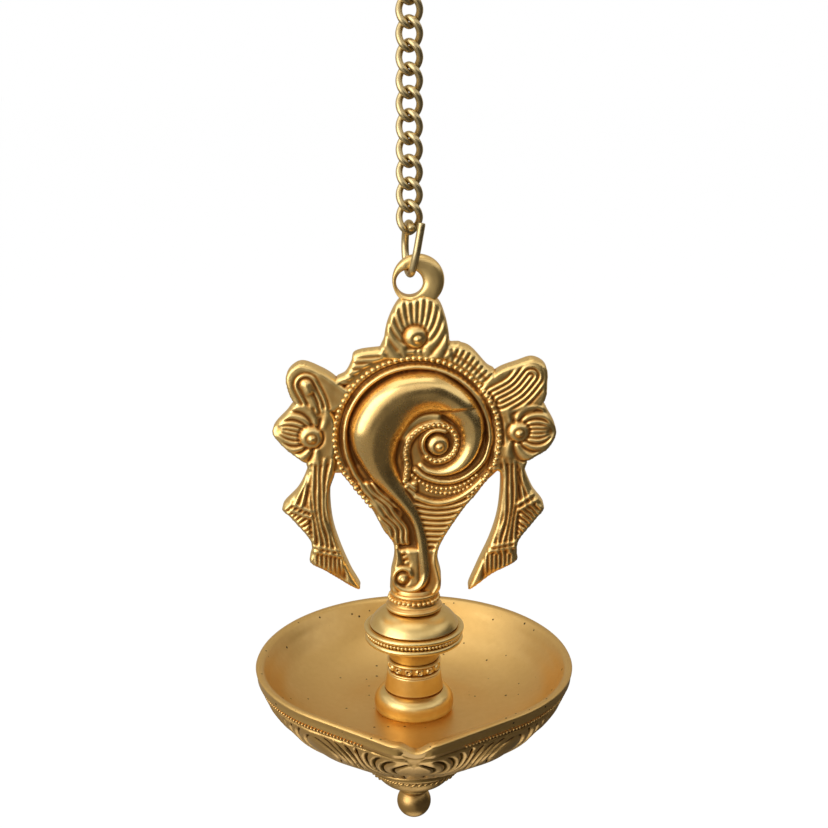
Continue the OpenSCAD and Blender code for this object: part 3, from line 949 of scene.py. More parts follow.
def link_tree() -> bpy.types.NodeTree:
    """Tree that draws one twisted link of round wire.

    Returns:
        The tree, with inputs for the link's half width, half height, twist, wire, centre and material.
    """
    steps, sides = 80, 18
    net, start, end = node_group(
        "twisted_link", "GeometryNodeTree",
        {"Geometry": ["Geometry"], "Float": ["Half Width", "Half Height", "Twist", "Wire", "Centre"],
         "Material": ["Finish"]}, {"Geometry": ["Geometry"]})
    calc = net.calc
    oval = net.node("GeometryNodeCurvePrimitiveCircle", {"Resolution": steps, "Radius": 1.0})
    angle = calc("MULTIPLY", net.node("GeometryNodeInputIndex").outputs[0], TURN / steps)
    turn = calc("MULTIPLY", calc("MULTIPLY", calc("SINE", angle), start["Twist"]), -1.0)
    out = calc("MULTIPLY", calc("COSINE", angle), start["Half Width"])
    place = net.node("ShaderNodeCombineXYZ", {
        0: calc("MULTIPLY", out, calc("COSINE", turn)), 1: calc("MULTIPLY", out, calc("SINE", turn)),
        2: calc("MULTIPLY_ADD", calc("SINE", angle), start["Half Height"], start["Centre"])})
    line = net.node("GeometryNodeSetPosition", {"Geometry": oval.outputs[0], "Position": place.outputs[0]})
    section = net.node("GeometryNodeCurvePrimitiveCircle", {"Resolution": sides, "Radius": start["Wire"]})
    solid = net.node("GeometryNodeCurveToMesh", {
        "Curve": line.outputs[0], "Profile Curve": section.outputs[0]})
    net.feed(end[0], net.solidify(solid.outputs[0], start["Finish"]))
    return net.tree


# Relief

@dataclass(frozen=True)
class Boss:
    """Domed boss of a relief: its place, radius and height, and how far off its middle its eye lies."""

    at: Point
    radius: float
    rise: float
    eye: Point = (0.0, 0.0)


@dataclass(frozen=True)
class Stroke:
    """Soft stroke of a relief: a groove or, with a depth below zero, a swell, and the shade painted along it,
    which below zero is a painted highlight.
    """

    line: Line
    half_width: float
    depth: float
    # Shade painted along the stroke; below zero, a painted highlight.
    soot_and_shade: float = 0.0


@dataclass(frozen=True)
class Bar:
    """Round bar of a relief."""

    line: Line
    half_width: float
    rise: float


class ReliefField:
    """Height of a relief over a square grid, with how burnished each point is and the patina, painted shade
    and painted highlights laid on it.
    """

    DOME = 0.85
    EYE_SHARE = 0.45
    EYE_RISE = 0.55
    EYE_TOP = 0.55
    EYE_GROOVE = 0.42
    FOOT_DEPTH = 0.5
    FOOT_OFF = 0.3
    FOOT_GROOVE = 0.4

    def __init__(self, low: Point, high: Point, step: float) -> None:
        """Lay out a flat grid.

        Args:
            low: Its lower left corner.
            high: Its upper right corner.
            step: Distance from one grid point to the next.
        """
        self.step = step
        self.x, self.z = np.meshgrid(*(np.arange(a, b + step, step) for a, b in zip(low, high)))
        self.edge = np.full_like(self.x, -1e3)
        self.height, self.burnish, self.shade = np.zeros((3, *self.x.shape))
        self.used = np.zeros(0, int)

    def near(self, path: Array, reach: float) -> tuple[Array, Array]:
        """Grid points round a path.

        Args:
            path: Points of the path.
            reach: Margin round the path's box.

        Returns:
            The mask of those points, and the points themselves.
        """
        low, high = path.min(0) - reach, path.max(0) + reach
        mask = (self.x >= low[0]) & (self.x <= high[0]) & (self.z >= low[1]) & (self.z <= high[1])
        return mask, np.stack([self.x[mask], self.z[mask]], 1)

    def depth_in(self, outline: Array) -> tuple[Array, Array, Array]:
        """Grid points within an outline.

        Args:
            outline: The closed outline.

        Returns:
            The mask of the points, the points, and how far each lies within the outline.
        """
        mask, at = self.near(outline, 0.5)
        within = inside(at, outline)
        mask[mask] = within
        at = at[within]
        return mask, at, path_field(at, np.concatenate([outline, outline[:1]]))[0]

    def add_plate(self, outline: Array, hole: bool = False) -> None:
        """Join an outline to the plate, or cut it away.

        Args:
            outline: The closed outline.
            hole: True if it is cut away.
        """
        margin = 4.0
        mask, at = self.near(outline, margin)
        ring = np.concatenate([outline, outline[:1]])
        depth = path_field(at, ring)[0] * np.where(inside(at, outline), 1, -1)
        old = self.edge[mask]
        self.edge[mask] = np.minimum(old, -depth) if hole else np.maximum(old, depth)

    def raise_to(self, mask: Array, height: Array, where: Array | bool = True) -> None:
        """Lift grid points to a height where they lie lower.

        Args:
            mask: Mask of the points.
            height: Height for each of them.
            where: True for those that may be lifted.
        """
        old = self.height[mask]
        self.height[mask] = np.where(where, np.maximum(old, height), old)

    def bar(self, path: Array, half_width: float, rise: float) -> None:
        """Round bar along a path.

        Args:
            path: Points of the path.
            half_width: Half the bar's width.
            rise: Its height.
        """
        mask, at = self.near(path, half_width)
        away = path_field(at, path)[0]
        self.raise_to(mask, rise * half_round(away / half_width), away < half_width)

    def groove(self, path: Array, half_width: float, depth: float, soot_and_shade: float = 0.0) -> None:
        """Soft groove along a path.

        Args:
            path: Points of the path.
            half_width: Distance from the path over which the groove fades.
            depth: Its depth.
            soot_and_shade: Shade painted along it beyond what its depth alone gives; below zero, a painted
                highlight.
        """
        mask, at = self.near(path, 3 * half_width)
        cut = bell(path_field(at, path)[0], half_width)
        self.height[mask] -= depth * cut
        # Painted shade along the groove, or a painted highlight where the value is below zero.
        self.shade[mask] += soot_and_shade * cut

    def draw(self, strokes: Sequence[Stroke | Bar]) -> None:
        """Add strokes and bars along smooth lines.

        Args:
            strokes: The strokes and bars, in order.
        """
        for stroke in strokes:
            path = smooth_path(stroke.line)
            if isinstance(stroke, Bar):
                self.bar(path, stroke.half_width, stroke.rise)
            else:
                self.groove(path, stroke.half_width, stroke.depth, stroke.soot_and_shade)

    def band(self, inner: Array, outer: Array, crown: float, top: float) -> None:
        """Burnished swelling form between two edges that meet at its ends, its crown nearer the outer one.

        Args:
            inner: Points of the inner edge.
            outer: Points of the outer edge.
            crown: Height of the crown for a millimetre of width.
            top: Height that the crown doesn't pass.
        """
        mask, at, _ = self.depth_in(np.concatenate([inner, outer[::-1]]))
        to_inner, to_outer = path_field(at, inner)[0], path_field(at, outer)[0]
        width = to_inner + to_outer
        share = to_inner / np.maximum(width, 1e-6)
        swell = crown * width * share ** 0.82 * (1 - share) ** 0.55
        self.raise_to(mask, top * np.tanh(swell / top))
        self.burnish[mask] = soft_step(0.2, 1.0, np.minimum(to_inner, to_outer))

    def boss(self, boss: Boss) -> None:
        """Domed boss with a groove at its foot and another round its small raised eye.

        Args:
            boss: The boss.
        """
        x, z = self.x - boss.at[0], self.z - boss.at[1]
        away, from_eye = np.hypot(x, z), np.hypot(x - boss.eye[0], z - boss.eye[1])
        within = away < boss.radius
        self.raise_to(within, boss.rise * np.sqrt(1 - (away[within] / boss.radius) ** 2 * self.DOME))
        eye = boss.radius * self.EYE_SHARE
        self.height -= self.EYE_RISE * bell(from_eye - eye, self.EYE_GROOVE)
        self.height += self.EYE_RISE * np.exp(-(from_eye / (eye * self.EYE_TOP)) ** 4)
        self.height -= self.FOOT_DEPTH * bell(away - boss.radius - self.FOOT_OFF, self.FOOT_GROOVE)

    def sample(self, at: Array) -> Array:
        """Height at points.

        Args:
            at: The points, one row each.

        Returns:
            Height of the grid point nearest to each.
        """
        corner = (self.x[0, 0], self.z[0, 0])
        column, row = np.rint((at - corner) / self.step).astype(int).T
        return self.height[np.clip(row, 0, len(self.x) - 1), np.clip(column, 0, self.x.shape[1] - 1)]

    def blur(self) -> None:
        """Wear the relief soft by one round."""
        rows = np.pad(self.height, 1, mode="edge")
        rows = (rows[:-2] + 2 * rows[1:-1] + rows[2:]) / 4
        self.height = (rows[:, :-2] + 2 * rows[:, 1:-1] + rows[:, 2:]) / 4

    def plate_faces(self) -> list:
        """Faces between the grid points on the plate.

        Returns:
            Numbers of the grid points of each face: whole cells first, then those that lack one point.
        """
        number = np.arange(self.x.size).reshape(self.x.shape)
        on_plate = self.edge > -0.45 * self.step
        cells, kept = (np.stack([grid[:-1, :-1], grid[:-1, 1:], grid[1:, 1:], grid[1:, :-1]], -1)
                       for grid in (number, on_plate))
        faces = [tuple(cell) for cell in cells[kept.all(-1)].tolist()]
        three = kept.sum(-1) == 3
        for cell, corners in zip(cells[three].tolist(), kept[three].tolist()):
            faces.append(tuple(point for point, stays in zip(cell, corners) if stays))
        return faces

    def skin(self, front: Callable[[Array, Array, Array], Array], back_y: float) -> Shell:
        """Closed skin with the relief in front and a flat back.

        Args:
            front: Places x, z and heights in space.
            back_y: Place of the back.

        Returns:
            The skin, which starts with the grid points that are kept in used.
        """
        back_edge = 0.5
        faces = self.plate_faces()
        rim = boundary_loop(faces)
        slope_z, slope_x = (slope.ravel()[rim] for slope in np.gradient(self.edge, self.step))
        steep = np.maximum(0.3, np.hypot(slope_x, slope_z))
        x, z, edge = self.x.ravel().copy(), self.z.ravel().copy(), self.edge.ravel()[rim]
        x[rim] -= edge * slope_x / steep
        z[rim] -= edge * slope_z / steep
        self.used = np.unique(np.concatenate([np.ravel(face) for face in faces]))
        renumber = np.full(self.x.size, -1)
        renumber[self.used] = np.arange(len(self.used))
        skin_faces = [tuple(renumber[list(face)].tolist()) for face in faces]
        relief = front(x[self.used], z[self.used], self.height.ravel()[self.used])
        loop = renumber[rim].tolist()
        middle, back = relief[loop], relief[loop]
        middle[:, 1] = back_y - back_edge
        back[:, 1] = back_y
        n, m = len(relief), len(loop)
        for k in range(m):
            after = (k + 1) % m
            skin_faces.append((loop[k], n + k, n + after, loop[after]))
            skin_faces.append((n + k, n + m + k, n + m + after, n + after))
        skin_faces.append(tuple(range(n + m, n + 2 * m)))
        return Shell(np.concatenate([relief, middle, back]), skin_faces)


def boundary_loop(faces: list) -> Array:
    """Find the longest open edge of a sheet.

    Args:
        faces: Corners of each face.

    Returns:
        Corners round that edge, in order.
    """
    following: dict[int, list[int]] = {}
    seen = {(a, b) for face in faces for a, b in zip(face, face[1:] + face[:1])}
    for a, b in seen:
        if (b, a) not in seen:
            following.setdefault(a, []).append(b)
    best: list[int] = []
    while following:
        loop: list[int] = []
        here = next(iter(following))
        while here in following:
            loop.append(here)
            exits = following[here]
            ahead = exits.pop()
            if not exits:
                del following[here]
            here = ahead
        if len(loop) > len(best):
            best = loop
    return np.array(best)


# Plaque

@dataclass(frozen=True)
class Lobe:
    """Leaf lobe of a wing: its outline, its boss and the tip where its ribs meet."""

    line: Line
    boss: Boss
    tip: Point


@dataclass(frozen=True)
class Bud:
    """Bud of a wing: its outline, the centre line of its nested loops and how far from it they reach."""

    line: Line
    root: Point
    tip: Point
    reach: float


@dataclass
class ConchPlaque:
    """Cast plaque: eye, crest, disc with the conch, wings, tassels, funnel, neck and collar.

    Places on its front are x and z from the centre of the disc.
    """

    layout: Layout
    plate_t: float = 6.0
    grid: float = 0.34
    grid_low: Point = (-53, -61)
    grid_high: Point = (53, 54)
    edge_round: float = 1.3
    edge_drop: float = 1.1
    uneven: float = 0.05
    disc_r: float = 31.5
    disc_cut: float = -13.0
    border_at: Point = (1.05, 0.5)
    border_r: float = 29.6
    border_pitch: float = 2.2
    border_bead: float = 1.1
    ridge_at: Point = (1.2, 0.9)
    ridge_r: float = 26.1
    coil_pitch: float = 1.85
    coil_bead: float = 0.95
    band_pitch: float = 1.75
    band_beads: Point = (0.85, 0.8)
    tail_bead: float = 1.2
    bead_sink: float = 0.2
    eye_at: Point = (-1.6, 57.0)
    eye_hole_r: float = 4.7
    eye_r: float = 9.2
    eye_wall: float = 1.4
    eye_lift: float = 0.8
    eye_gap: float = 1.1
    eye_full_half: float = 1.9
    eye_round_top: float = 0.66
    eye_round_low: float = 0.3
    leaf_rise: float = 1.4
    lobe_ribs: float = 4.2
    loop_pitch: float = 1.8
    margin_rise: float = 0.9
    tassel_pleats: float = 5.0
    right_strip: float = 0.22
    rib_pitch: float = 2.05
    flute_pitch: float = 1.9
    stroke_rise: float = 0.75
    collar_bead: float = 0.9
    collar_bead_r: float = 9.0
    collar_bead_z: float = 4.4
    collar_beads: int = 30
    collar_step: float = 0.25
    collar_sides: int = 128

    CREST = ((12, 30), (12.6, 36), (11.2, 44), (8, 51), (1, 53), (-5, 51), (-9, 44), (-10.6, 37), (-10.8, 30))
    CREST_BOSS = Boss((0.5, 38.0), 4.0, 2.6, (1.0, -0.8))
    SHOULDERS = ((-24, 20), (-27.8, 22), (-24.6, 24), (-22.4, 28), (-20.8, 31.6), (-11, 33.2), (12.6, 35),
                 (17, 34.6), (20.6, 32.8), (25.8, 27), (28.6, 24.6), (24, 20))
    FUNNEL = ((-29, -6), (-27, -12), (-21, -19.8), (-15.2, -27), (-11.2, -34.8), (-7.6, -40), (-7.4, -46),
              (-8.6, -53), (-7.2, -60), (7.6, -60), (10.0, -54), (8.6, -46), (10, -39.6), (17.6, -27.2),
              (24.8, -17.8), (29, -6))
    BUDS = (
        Bud(((-23, 16), (-28, 22), (-33.4, 25.6), (-40.2, 28), (-44.8, 25), (-45.6, 20.6), (-42.6, 13),
             (-34, 8)), (-34.6, 10.4), (-38.4, 20.4), 4.5),
        Bud(((23, 16), (28.6, 24.4), (37.2, 28.2), (42.4, 29.6), (46.8, 27), (47.6, 21.6), (45.8, 13),
             (34, 8)), (30.6, 14.4), (41.6, 23.8), 6.3))
    LOBES = (
        Lobe(((-29, 10), (-41, 13.6), (-46, 9.4), (-51, 3), (-47.6, -2.6), (-42.8, -6.8), (-38, -9.4),
              (-29, -8)), Boss((-37, 1.0), 4.2, 2.5, (0.4, -0.5)), (-50, 4.2)),
        Lobe(((29, 10), (44, 13.6), (48.4, 9.4), (51.2, 2.6), (48.6, -3.4), (44, -6.6), (40, -8.4),
              (29, -8)), Boss((37.5, 3.1), 3.8, 2.5, (0.4, -0.5)), (50.4, 3.4)))
    LEFT_TASSEL = ((-29, -6), (-38.2, -8), (-38.8, -12.2), (-42.2, -19.4), (-48, -26.2), (-45, -30.2),
                   (-38.6, -38), (-37.4, -42), (-38.2, -47.4), (-32.4, -51), (-20.2, -58.2), (-23.6, -50.4),
                   (-27.4, -40.8), (-30, -31.2), (-30.6, -20), (-28.6, -12.8))
    RIGHT_TASSEL = ((29, -6), (40.2, -8), (40.2, -12), (43.2, -19.4), (47.4, -25.8), (44.2, -31),
                    (38.4, -38.8), (37.8, -43.4), (37.4, -47), (29, -51.8), (20.2, -58.2), (23, -49.6),
                    (28, -37.8), (30.8, -26.6), (31.2, -13), (28, -12.4))
    TASSEL_INNER = ((28.6, -8), (30.6, -16), (30.8, -26), (28.6, -36), (24.4, -47), (19, -59))
    TASSEL_OUTER = ((39.4, -8), (38.6, -24), (37.4, -38), (37.8, -47.6), (20, -59.4))
    FLAP_EDGE = ((37.4, -8), (38.4, -24), (37.4, -38))
    FLAP_FOLD = ((38.4, -11), (38.5, -24), (37.4, -37.6))
    TIES = (((-43.6, -24.4), (-37.2, -27.2)), ((-44.6, -26.6), (-38, -29.4)),
            ((-36.6, -40.6), (-26.6, -42.6)), ((-36.4, -42.6), (-25.8, -44.6)),
            ((37.6, -24.3), (44, -19.8)), ((38.2, -26.4), (45, -22.2)),
            ((28.6, -40.6), (37.2, -38.8)), ((27.6, -42.6), (37.2, -40.6)))
    BUD_STALK = (((-38.3, 20.6), (-37.7, 18.4), 2.2, 2.2), ((-37.7, 18.4), (-36, 13), 1.3, 1.4))
    CONCH_OUTER = ((1.2, -9.6), (4.7, -12.8), (11.2, -13.7), (17.6, -11.5), (22.3, -6.5), (24.8, 0.3),
                   (25.1, 6.9), (23.1, 12.1), (20.4, 16.5), (15.4, 21.1), (8.8, 24.8), (0.9, 25.4),
                   (-7.2, 23.7), (-15.1, 18.5), (-20.5, 11.7), (-23.0, 4.8), (-22.4, -2), (-19.9, -8),
                   (-15.4, -14.6), (-9.6, -20.8), (-4.5, -26.3), (-0.9, -31.8), (0.5, -37.3), (1.2, -44),
                   (1.6, -49.6), (1.4, -53.4), (-0.2, -56.2), (-3, -57.5), (-7.4, -56.8))
    CONCH_INNER = ((1.2, -9.6), (2.6, -8.8), (4.9, -10.4), (8.6, -10.9), (12.5, -9.4), (15.3, -5.8),
                   (16.9, -0.4), (15.8, 4.3), (13.3, 7.2), (10.2, 9.4), (6.6, 10.2), (2.1, 9), (-1.9, 5.5),
                   (-5.1, -0.3), (-6.5, -7), (-5.5, -12.4), (-2.4, -18.5), (1.4, -25.3), (3.9, -32.1),
                   (5.5, -39), (6.3, -46.4), (6.0, -51.5), (4.7, -56.0), (1.7, -58.8), (-2.6, -59.4),
                   (-5.9, -58.7), (-7.4, -56.8))
    CONCH_BOSS = Boss((8.6, -1.8), 3.9, 2.8, (0.7, -0.6))
    WHORL_SEAM = ((5.2, 10.1), (9.2, 10.9), (13.6, 12.0), (17.6, 12.7), (23.6, 13.2))
    # A swell with a painted highlight between the coil and the conch's inner edge, and a groove with painted
    # shade between the coil and the seam.
    COIL_FIELD = (
        Stroke(((-3.6, 1.4), (-2.3, 4.2), (1.0, 7.0), (4.8, 8.2), (8.6, 8.2)), 1.7, -0.6, -0.4),
        Stroke(((10.2, 8.4), (11.6, 7.6), (13.0, 6.3)), 0.7, 0.5, 0.6))
    TAIL_CURL = ((4.0, -46.6), (4.1, -50.4), (3.5, -54.0), (1.4, -56.6), (-1.8, -57.5), (-5.2, -56.6),
                 (-7.3, -53.6), (-6.9, -50.4), (-4.4, -48.7), (-1.9, -49.6), (-1.2, -51.6))
    VOLUTE_BOSS = Boss((-4.2, -52.9), 2.3, 3.6, (0.4, -0.2))
    COIL = ((-3, -14.6), (-2.4, -9.8), (-3, -5.1), (-1.8, -0.4), (1.4, 3.3), (6, 5.4), (11, 5.4), (14.2, 2.9),
            (15.5, -1.1), (14.3, -5.1), (11.2, -7.4), (7.6, -8), (4.6, -6.2))
    TAIL_BEADS = ((-3.3, -15.6), (-2.7, -17.6))
    UNDER_RIDGE = ((27.1, -1.4), (24.9, -8), (18.4, -14), (11.2, -15.9), (4.3, -14.3), (0.4, -11.4))
    RIDGE_END = ((-20.9, -13.6), (-17.4, -18.8), (-13.6, -24.4), (-11.2, -28.6))
    FIRST_RIB = Bar(((26.6, -13), (21.6, -18.2), (16.4, -21.9), (11.3, -23.7), (6.1, -23.7), (0.6, -21.6)),
                    1.25, 1.7)
    BEAD_BAND = ((-0.6, -13.6), (4.6, -17.4), (11.2, -18.7), (17.7, -17.2), (22.6, -13.6))
    LEFT_EDGE = ((-26.2, -11.6), (-20.6, -18.4), (-15.6, -25))
    RIGHT_EDGE = ((19.8, -21.4), (24.4, -16.2), (28, -10.4))
    # Grooves down the tail, with painted shade in their hollows.
    TAIL_HOLLOWS = (
        Stroke(((-6.2, -26.4), (-3.6, -29.4), (-1.9, -32.2), (-0.7, -35), (-0.7, -39.2)), 0.7, 1.4, 0.2),
        Stroke(((-3.4, -30.2), (-1.3, -34), (-0.6, -39.8)), 0.9, 1.6, 0.6))
    NECK_BOSSES = (Boss((-4.0, -42.6), 1.0, 2.5), Boss((-3.4, -44.8), 0.9, 2.5),
                   Boss((-2.8, -46.8), 1.0, 2.5))
    NECK_BARS = (
        Bar(((8.3, -40.5), (7.6, -46), (8.5, -51), (9.2, -55), (7.4, -59)), 1.0, 1.8),
        Bar(((-6.4, -41), (-6.3, -46), (-7, -48.6)), 0.8, 2.3))
    COLLAR = ((0, 0), (8.8, 0), (9.9, 0.3, 0.5), (10.2, 1.6), (9.7, 2.1, -0.25), (8.9, 3.3), (8.6, 5.5, 0.1),
              (8.5, 5.7, 0.6), (8.0, 7.2), (7.4, 8.4), (0, 8.4))

    def place(self, x: Array, z: Array, height: Array) -> Array:
        """Points of the plaque's front in the lamp's frame."""
        return np.stack([self.layout.axis_x + x, -self.plate_t / 2 - height, self.layout.disc_z + z], 1)

    def lay_plate(self, f: ReliefField) -> None:
        """Outline of the whole casting, with room for the eye's hole.

        Args:
            f: The relief.
        """
        disc = circle((0, 0), self.disc_r, 160)
        disc[:, 1] = np.maximum(disc[:, 1], self.disc_cut)
        f.add_plate(disc)
        wings = [wing.line for wing in self.BUDS + self.LOBES]
        for line in (self.CREST, self.SHOULDERS, self.FUNNEL, *wings, self.LEFT_TASSEL, self.RIGHT_TASSEL):
            f.add_plate(outline_of(line))
        f.add_plate(circle(self.eye_at, self.eye_hole_r + self.eye_gap, 48), hole=True)

    def carve_lobe(self, f: ReliefField, lobe: Lobe) -> None:
        """Ribs that run as arcs from the boss of a lobe to its tip.

        Args:
            f: The relief.
            lobe: The lobe.
        """
        mask, at, depth = f.depth_in(outline_of(lobe.line))
        boss, tip = np.array(lobe.boss.at, float), np.array(lobe.tip, float)
        spread = np.degrees(angle_to(at - boss, tip - boss) + angle_to(at - tip, boss - tip))
        ribs = pleat(self.lobe_ribs * spread / 120 + 0.5, 0.6)
        plain_level, plain = 0.7, soft_step(138, 152, spread)
        worn = soft_step(0.4, 3.0, np.hypot(*(at - tip).T)) * soft_step(0, 0.8, depth)
        f.raise_to(mask, self.leaf_rise * (ribs + (plain_level - ribs) * plain) * worn)
        f.boss(lobe.boss)

    def carve_bud(self, f: ReliefField, bud: Bud) -> None:
        """Plain margin round nested loops.

        Args:
            f: The relief.
            bud: The bud.
        """
        mask, at, depth = f.depth_in(outline_of(bud.line))
        bow = (0.9, -0.9)
        middle = np.add(bud.root, bud.tip) / 2 + bow
        core = path_field(at, smooth_path((bud.root, middle, bud.tip)))[0]
        loops = self.leaf_rise * pleat(core / self.loop_pitch + 0.5, 0.75)
        margin = np.maximum(soft_step(2.2, 1.2, depth), soft_step(bud.reach, bud.reach + 0.5, core))
        f.raise_to(mask, loops * (1 - margin) + self.margin_rise * margin)

    def carve_tassel(self, f: ReliefField, side: int, line: Line) -> None:
        """Long pleats, and a flap whose fringe hangs below a tied band.

        Args:
            f: The relief.
            side: -1 for the left tassel, 1 for the right.
            line: Its outline.
        """
        mirror = (side, 1)
        mask, at, depth = f.depth_in(outline_of(line))
        at = at * mirror
        x, z = at.T
        to_inner = path_field(at, smooth_path(self.TASSEL_INNER, 6))[0]
        to_outer = path_field(at, smooth_path(self.TASSEL_OUTER, 6))[0]
        waver = 0.14 * np.sin(0.31 * z + 1.7 * np.sin(0.8 * x))
        strip, strip_level = self.right_strip if side > 0 else 0.0, 0.65
        share = (to_inner / np.maximum(to_inner + to_outer, 1e-6) - strip) / (1 - strip)
        pleats = pleat(self.tassel_pleats * (1 - strip) * share + waver)
        pleats = np.where(share < 0, strip_level, pleats)
        fan_root, fan_step, fringe_pitch, tip_pitch, tip_level = (35, -4), 6.2, 1.7, 1.6, 0.6
        fan = pleat(np.degrees(np.arctan2(x - fan_root[0], fan_root[1] - z)) / fan_step, 0.8)
        fringe = pleat((0.66 * x + 0.75 * z) / fringe_pitch + waver, 0.8)
        flap = np.where(z + 26.5 - 0.4 * (x - 38) > 0, fan, fringe)
        edge_x, edge_z = np.array(self.FLAP_EDGE).T
        pleats = np.where((x > np.interp(-z, -edge_z, edge_x)) & (z > -38.4), flap, pleats)
        tip = pleat(x / tip_pitch, 0.8) * soft_step(-53.5, -48.5, z)
        pleats = np.where(z < -43.6, np.where(x > 25, tip, tip_level), pleats)
        f.raise_to(mask, self.leaf_rise * pleats * soft_step(0.1, 1.0, depth))
        # Deeper patina on both tassels, and painted shade on the right one, which lies away from the light.
        f.shade[mask] += 0.12 + 0.03 * side
        f.groove(np.array(self.FLAP_FOLD) * mirror, 0.45, 0.7)

    def carve_wings(self, f: ReliefField) -> None:
        """Buds, lobes and tassels at both sides.

        Args:
            f: The relief.
        """
        for lobe in self.LOBES:
            self.carve_lobe(f, lobe)
        for bud in self.BUDS:
            self.carve_bud(f, bud)
        for start, end, half_width, rise in self.BUD_STALK:
            f.bar(np.array((start, end)), half_width, rise)
        self.carve_tassel(f, -1, self.LEFT_TASSEL)
        self.carve_tassel(f, 1, self.RIGHT_TASSEL)
        for line in self.TIES:
            f.bar(np.array(line), 0.85, 1.5)

    def carve_crest(self, f: ReliefField) -> None:
        """Petal whose ribs rise from its boss, and short strokes on the shoulders.

        Args:
            f: The relief.
        """
        mask, at, depth = f.depth_in(outline_of(self.CREST))
        x, z = (at - self.CREST_BOSS.at).T
        stream = 0.3 * x + 1.6 * np.arctan2(x, z)
        under_boss = soft_step(-3.0, -4.6, z) * soft_step(4.4, 2.6, np.abs(x))
        ribs = (0.2 + 0.85 * pleat(stream + 0.5, 0.55)) * soft_step(3.8, 4.6, np.hypot(x, z))
        f.raise_to(mask, ribs * (1 - 0.8 * under_boss) * soft_step(-0.2, 0.9, depth))
        # Painted highlight: the whole crest is lightened.
        f.shade[mask] -= 0.12
        f.boss(self.CREST_BOSS)
        mask, at, depth = f.depth_in(outline_of(self.SHOULDERS))
        x, z = at.T
        ray = np.hypot(x, z)
        stroke_angle, line_pitch, break_r = 3.4, 2.1, 34.2
        strokes = pleat(np.degrees(np.arctan2(z, x)) / stroke_angle)
        strokes *= np.where(np.abs(ray - break_r) < 0.35, 0.3, 1.0)
        lines = pleat((z - 0.06 * x) / line_pitch)
        past_disc = soft_step(31.4, 32.2, ray) * soft_step(0.2, 1.1, depth)
        f.raise_to(mask, self.stroke_rise * past_disc * np.where(x > 0, strokes, lines))

    def carve_funnel(self, f: ReliefField) -> None:
        """Ribs across the funnel, the fluted leaf, and the neck's curls and mouldings.

        Args:
            f: The relief.
        """
        mask, at, depth = f.depth_in(outline_of(self.FUNNEL))
        x, z = at.T
        first_rib = 22.9
        ray = np.hypot(*(at - self.CONCH_BOSS.at).T)
        tail_x, tail_z = smooth_path(self.CONCH_INNER)[-90:-30].T
        right_of_tail = x > np.interp(-z, -tail_z, tail_x) - 1
        ribs = 1.5 * pleat((ray - first_rib) / self.rib_pitch, 0.8) * soft_step(0.0, 0.9, depth)
        f.raise_to(mask, ribs * (ray > first_rib), right_of_tail & (z < -20) & (z > -40.6))
        off = path_field(at, smooth_path(self.CONCH_OUTER)[120:])[0]
        flutes = 1.6 * pleat(off / self.flute_pitch + 0.2 * np.sin(z * 0.7), 0.8) * soft_step(0, 0.7, depth)
        f.raise_to(mask, flutes, (x < 1) & (z < -16) & (z > -40) & (off > 0.4))
        # Tail grooves with painted shade.
        f.draw(self.TAIL_HOLLOWS)
        neck = (1.3 + 0.8 * soft_step(3.0, 1.0, x)) * soft_step(-40.6, -42.4, z) * soft_step(0, 1.2, depth)
        f.raise_to(mask, neck)
        # Painted highlight on the slanted face of the neck.
        f.shade[mask] -= 0.25 * soft_step(-40.8, -42.0, z) * soft_step(-3.6, -2.6, x) * soft_step(3.0, 2.0, x)
        for boss in self.NECK_BOSSES:
            f.boss(boss)
        f.draw(self.NECK_BARS)

    def carve_conch(self, f: ReliefField) -> None:
        """Ring of the disc, and the conch as one swelling form that coils round its boss.

        Args:
            f: The relief.
        """
        ridge = arc(self.ridge_at, self.ridge_r, 0, 204, 90)
        f.bar(np.concatenate([smooth_path(self.UNDER_RIDGE)[::-1], ridge, self.RIDGE_END]), 1.0, 1.5)
        f.groove(arc(self.ridge_at, self.ridge_r + 1.7, -24, 204, 90), 0.55, 0.7)
        f.groove(arc(self.ridge_at, self.ridge_r - 1.9, -4, 206, 90), 0.6, 0.7)
        f.draw([self.FIRST_RIB])
        f.bar(arc(self.CONCH_BOSS.at, 5.5, 235, 62, 40), 0.9, 1.5)
        f.draw([Bar(self.COIL, 1.45, 1.2)])
        f.band(smooth_path(self.CONCH_INNER), smooth_path(self.CONCH_OUTER), 1.3, 12.0)
        self.carve_seam(f)
        f.boss(self.CONCH_BOSS)
        # Painted highlight and painted shade round the coil.
        f.draw(self.COIL_FIELD)
        # A groove with painted shade outside the border beads on the right.
        f.groove(arc(self.border_at, self.border_r + 1.5, -4, 34, 30), 0.5, 0.5, 0.5)
        curl = smooth_path(self.TAIL_CURL)
        mask, at = f.near(curl, 2.4)
        away, along = path_field(at, curl)
        half = np.interp(along, [0, 10, 30], [2.3, 1.6, 1.15])
        f.raise_to(mask, np.interp(along, [0, 9], [1.9, 3.1]) * half_round(away / half))
        f.boss(self.VOLUTE_BOSS)

    def carve_seam(self, f: ReliefField) -> None:
        """Soft step where the conch's mouth passes under its last whorl.

        Args:
            f: The relief.
        """
        step_depth, fade, blend, reach = 1.0, 3.2, 0.7, 9.0
        seam = smooth_path(self.WHORL_SEAM)
        mask, at = f.near(seam, reach)
        x, z = at.T
        under = soft_step(blend, -blend, z - np.interp(x, *seam.T)) * soft_step(5.0, 10.0, x)
        f.height[mask] -= step_depth * np.exp(-path_field(at, seam)[0] / fade) * under * f.burnish[mask]

